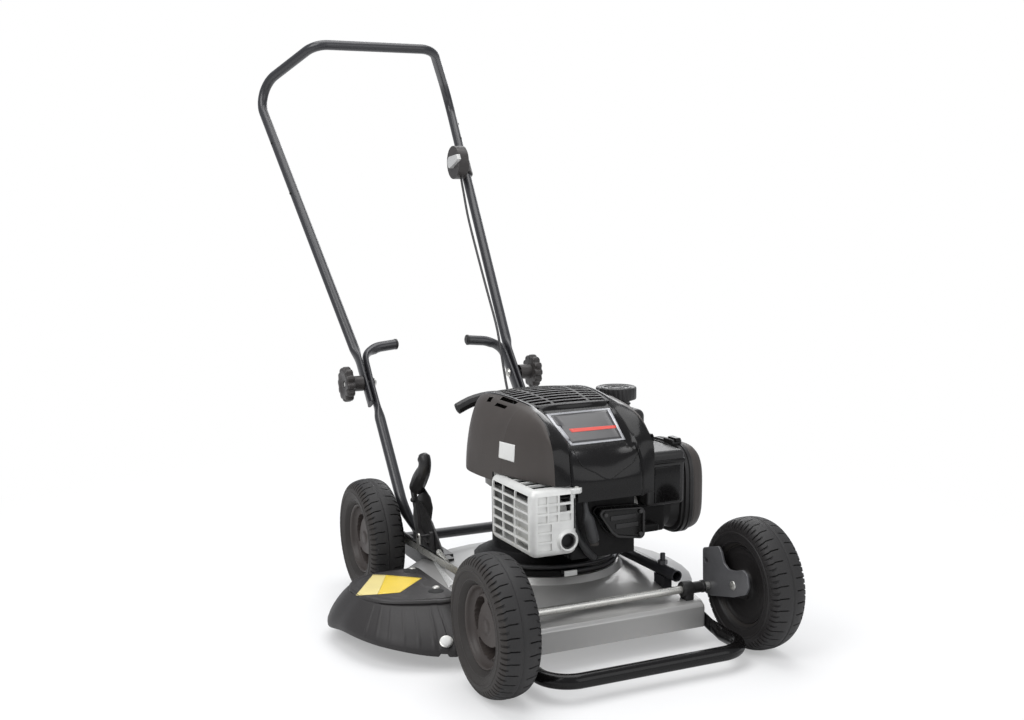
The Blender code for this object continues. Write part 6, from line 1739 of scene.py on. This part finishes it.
def bumper_press(spot):
    """Flatten the bumper's ends into strips beside the front beam."""
    if spot.y < BUMPER_BEND_Y:
        return spot
    side = math.copysign(1.0, spot.x)
    middle = BUMPER_X - STRIP_IN * share_between(BUMPER_BEND_Y, STRIP_BEND_Y, spot.y)
    weight = share_between(*PRESS_RUN, spot.y)
    share = 1.0 - weight * (1.0 - STRIP_THICKNESS / (2 * BUMPER_RADIUS))
    moved = spot.copy()
    moved.x = side * (middle + (spot.x * side - middle) * share)
    return moved


def build_bumper():
    """The tubular front guard with its flattened ends."""
    strip_x = BUMPER_X - STRIP_IN
    corners = ((0.0, BUMPER_FRONT_Y, BUMPER_Z), (BUMPER_X, BUMPER_FRONT_Y, BUMPER_Z),
               (BUMPER_X, BUMPER_BEND_Y, BUMPER_Z), (strip_x, STRIP_BEND_Y, 0.034),
               (strip_x, -0.170, 0.050))
    half = stations(fillet(corners, (0, 0.045, 0.02, 0.02, 0), 16), TUBE_STEP)
    swept("bumper_tube", half[::-1] + mirrored(half)[1:], BUMPER_RADIUS, "gloss", "root",
          ["front_bumper"], bumper_press, 40)


def build_front_end(side_name, side):
    """One front crank with its stub and rivet, and the bush on its axle."""
    plate("crank_plate_" + side_name, rounded(CRANK_OUTLINE, 0.006), 0.004, side * CRANK_X, "YZ",
          "plate", "front_axle", 0.0008, ["front_crank_" + side_name],
          holes=[ring((-0.1870, 0.1210), 0.0042, 24)])
    stub = [(0.0, 0.1780), (0.0078, 0.1780), (0.0078, 0.2140), (0.0, 0.2150)]
    lathe("wheel_stub_" + side_name, [(radius, side * x) for radius, x in stub], "zinc",
          "front_axle", (0, FRONT_Y, WHEEL_RADIUS), "X", 32)
    button("crank_rivet_" + side_name, (side * 0.1746, FRONT_Y, 0.1010), (-side, 0, 0), 0.0070,
           0.0024, "zinc", "front_axle")
    bush = [(0.0062, 0.1250), (0.0105, 0.1250), (0.0117, 0.1260), (0.0120, 0.1280),
            (0.0120, 0.1405), (0.0112, 0.1425), (0.0092, 0.1432), (0.0088, 0.1450),
            (0.0088, 0.1600), (0.0096, 0.1610), (0.0096, 0.1640), (0.0084, 0.1650),
            (0.0062, 0.1650)]
    lathe("axle_bush_" + side_name, [(radius, side * x) for radius, x in bush], "black", "root",
          (0, *FRONT_AXLE_AT), "X", 48, loop=True, stands_for=["front_bush_" + side_name])
    x0, x1 = sorted((side * 0.1290, side * 0.1430))
    soft_box("bush_foot_" + side_name, (x0, -0.2040, 0.0672), (x1, -0.1860, 0.0790), "black",
             "root", 0.0015)


build_bumper()
for side_name, side in SIDES:
    build_front_end(side_name, side)
lathe("link_pin_front", [(0.0, -0.1770), (0.0025, -0.1770), (0.0025, -0.1688), (0.0038, -0.1686),
                         (0.0038, -0.1672), (0.0, -0.1668)],
      "zinc", "front_axle", (0, -0.189, 0.112), "X", 24)

# Height lever's shield and spring

SHIELD_OUTLINE = ((0.195, 0.194), (0.163, 0.182), (0.153, 0.166), (0.165, 0.134), (0.118, 0.110),
                  (0.145, 0.092), (0.236, 0.092), (0.240, 0.155))
COIL_TURNS = 10
COIL_STEPS = 12
COIL_RADIUS = 0.0042
COIL_START = Vector((-0.1500, 0.104, 0.1040))
COIL_RUN = Vector((0.0, -0.036, -0.0096))


def build_lever_parts():
    """The shield beside the height lever, and the small spring below it."""
    plate("lever_shield", rounded(SHIELD_OUTLINE, 0.006), 0.0020, -0.1399, "YZ", "black", "root",
          0.0005)
    coil = []
    for k in range(COIL_TURNS * COIL_STEPS + 1):
        a = 2 * math.pi * k / COIL_STEPS
        spot = COIL_START + COIL_RUN * k / (COIL_TURNS * COIL_STEPS)
        coil.append(spot + Vector((math.cos(a), 0.0, math.sin(a))) * COIL_RADIUS)
    tube("lever_spring", coil, 0.0009, "zinc", "root", resolution=3)


build_lever_parts()
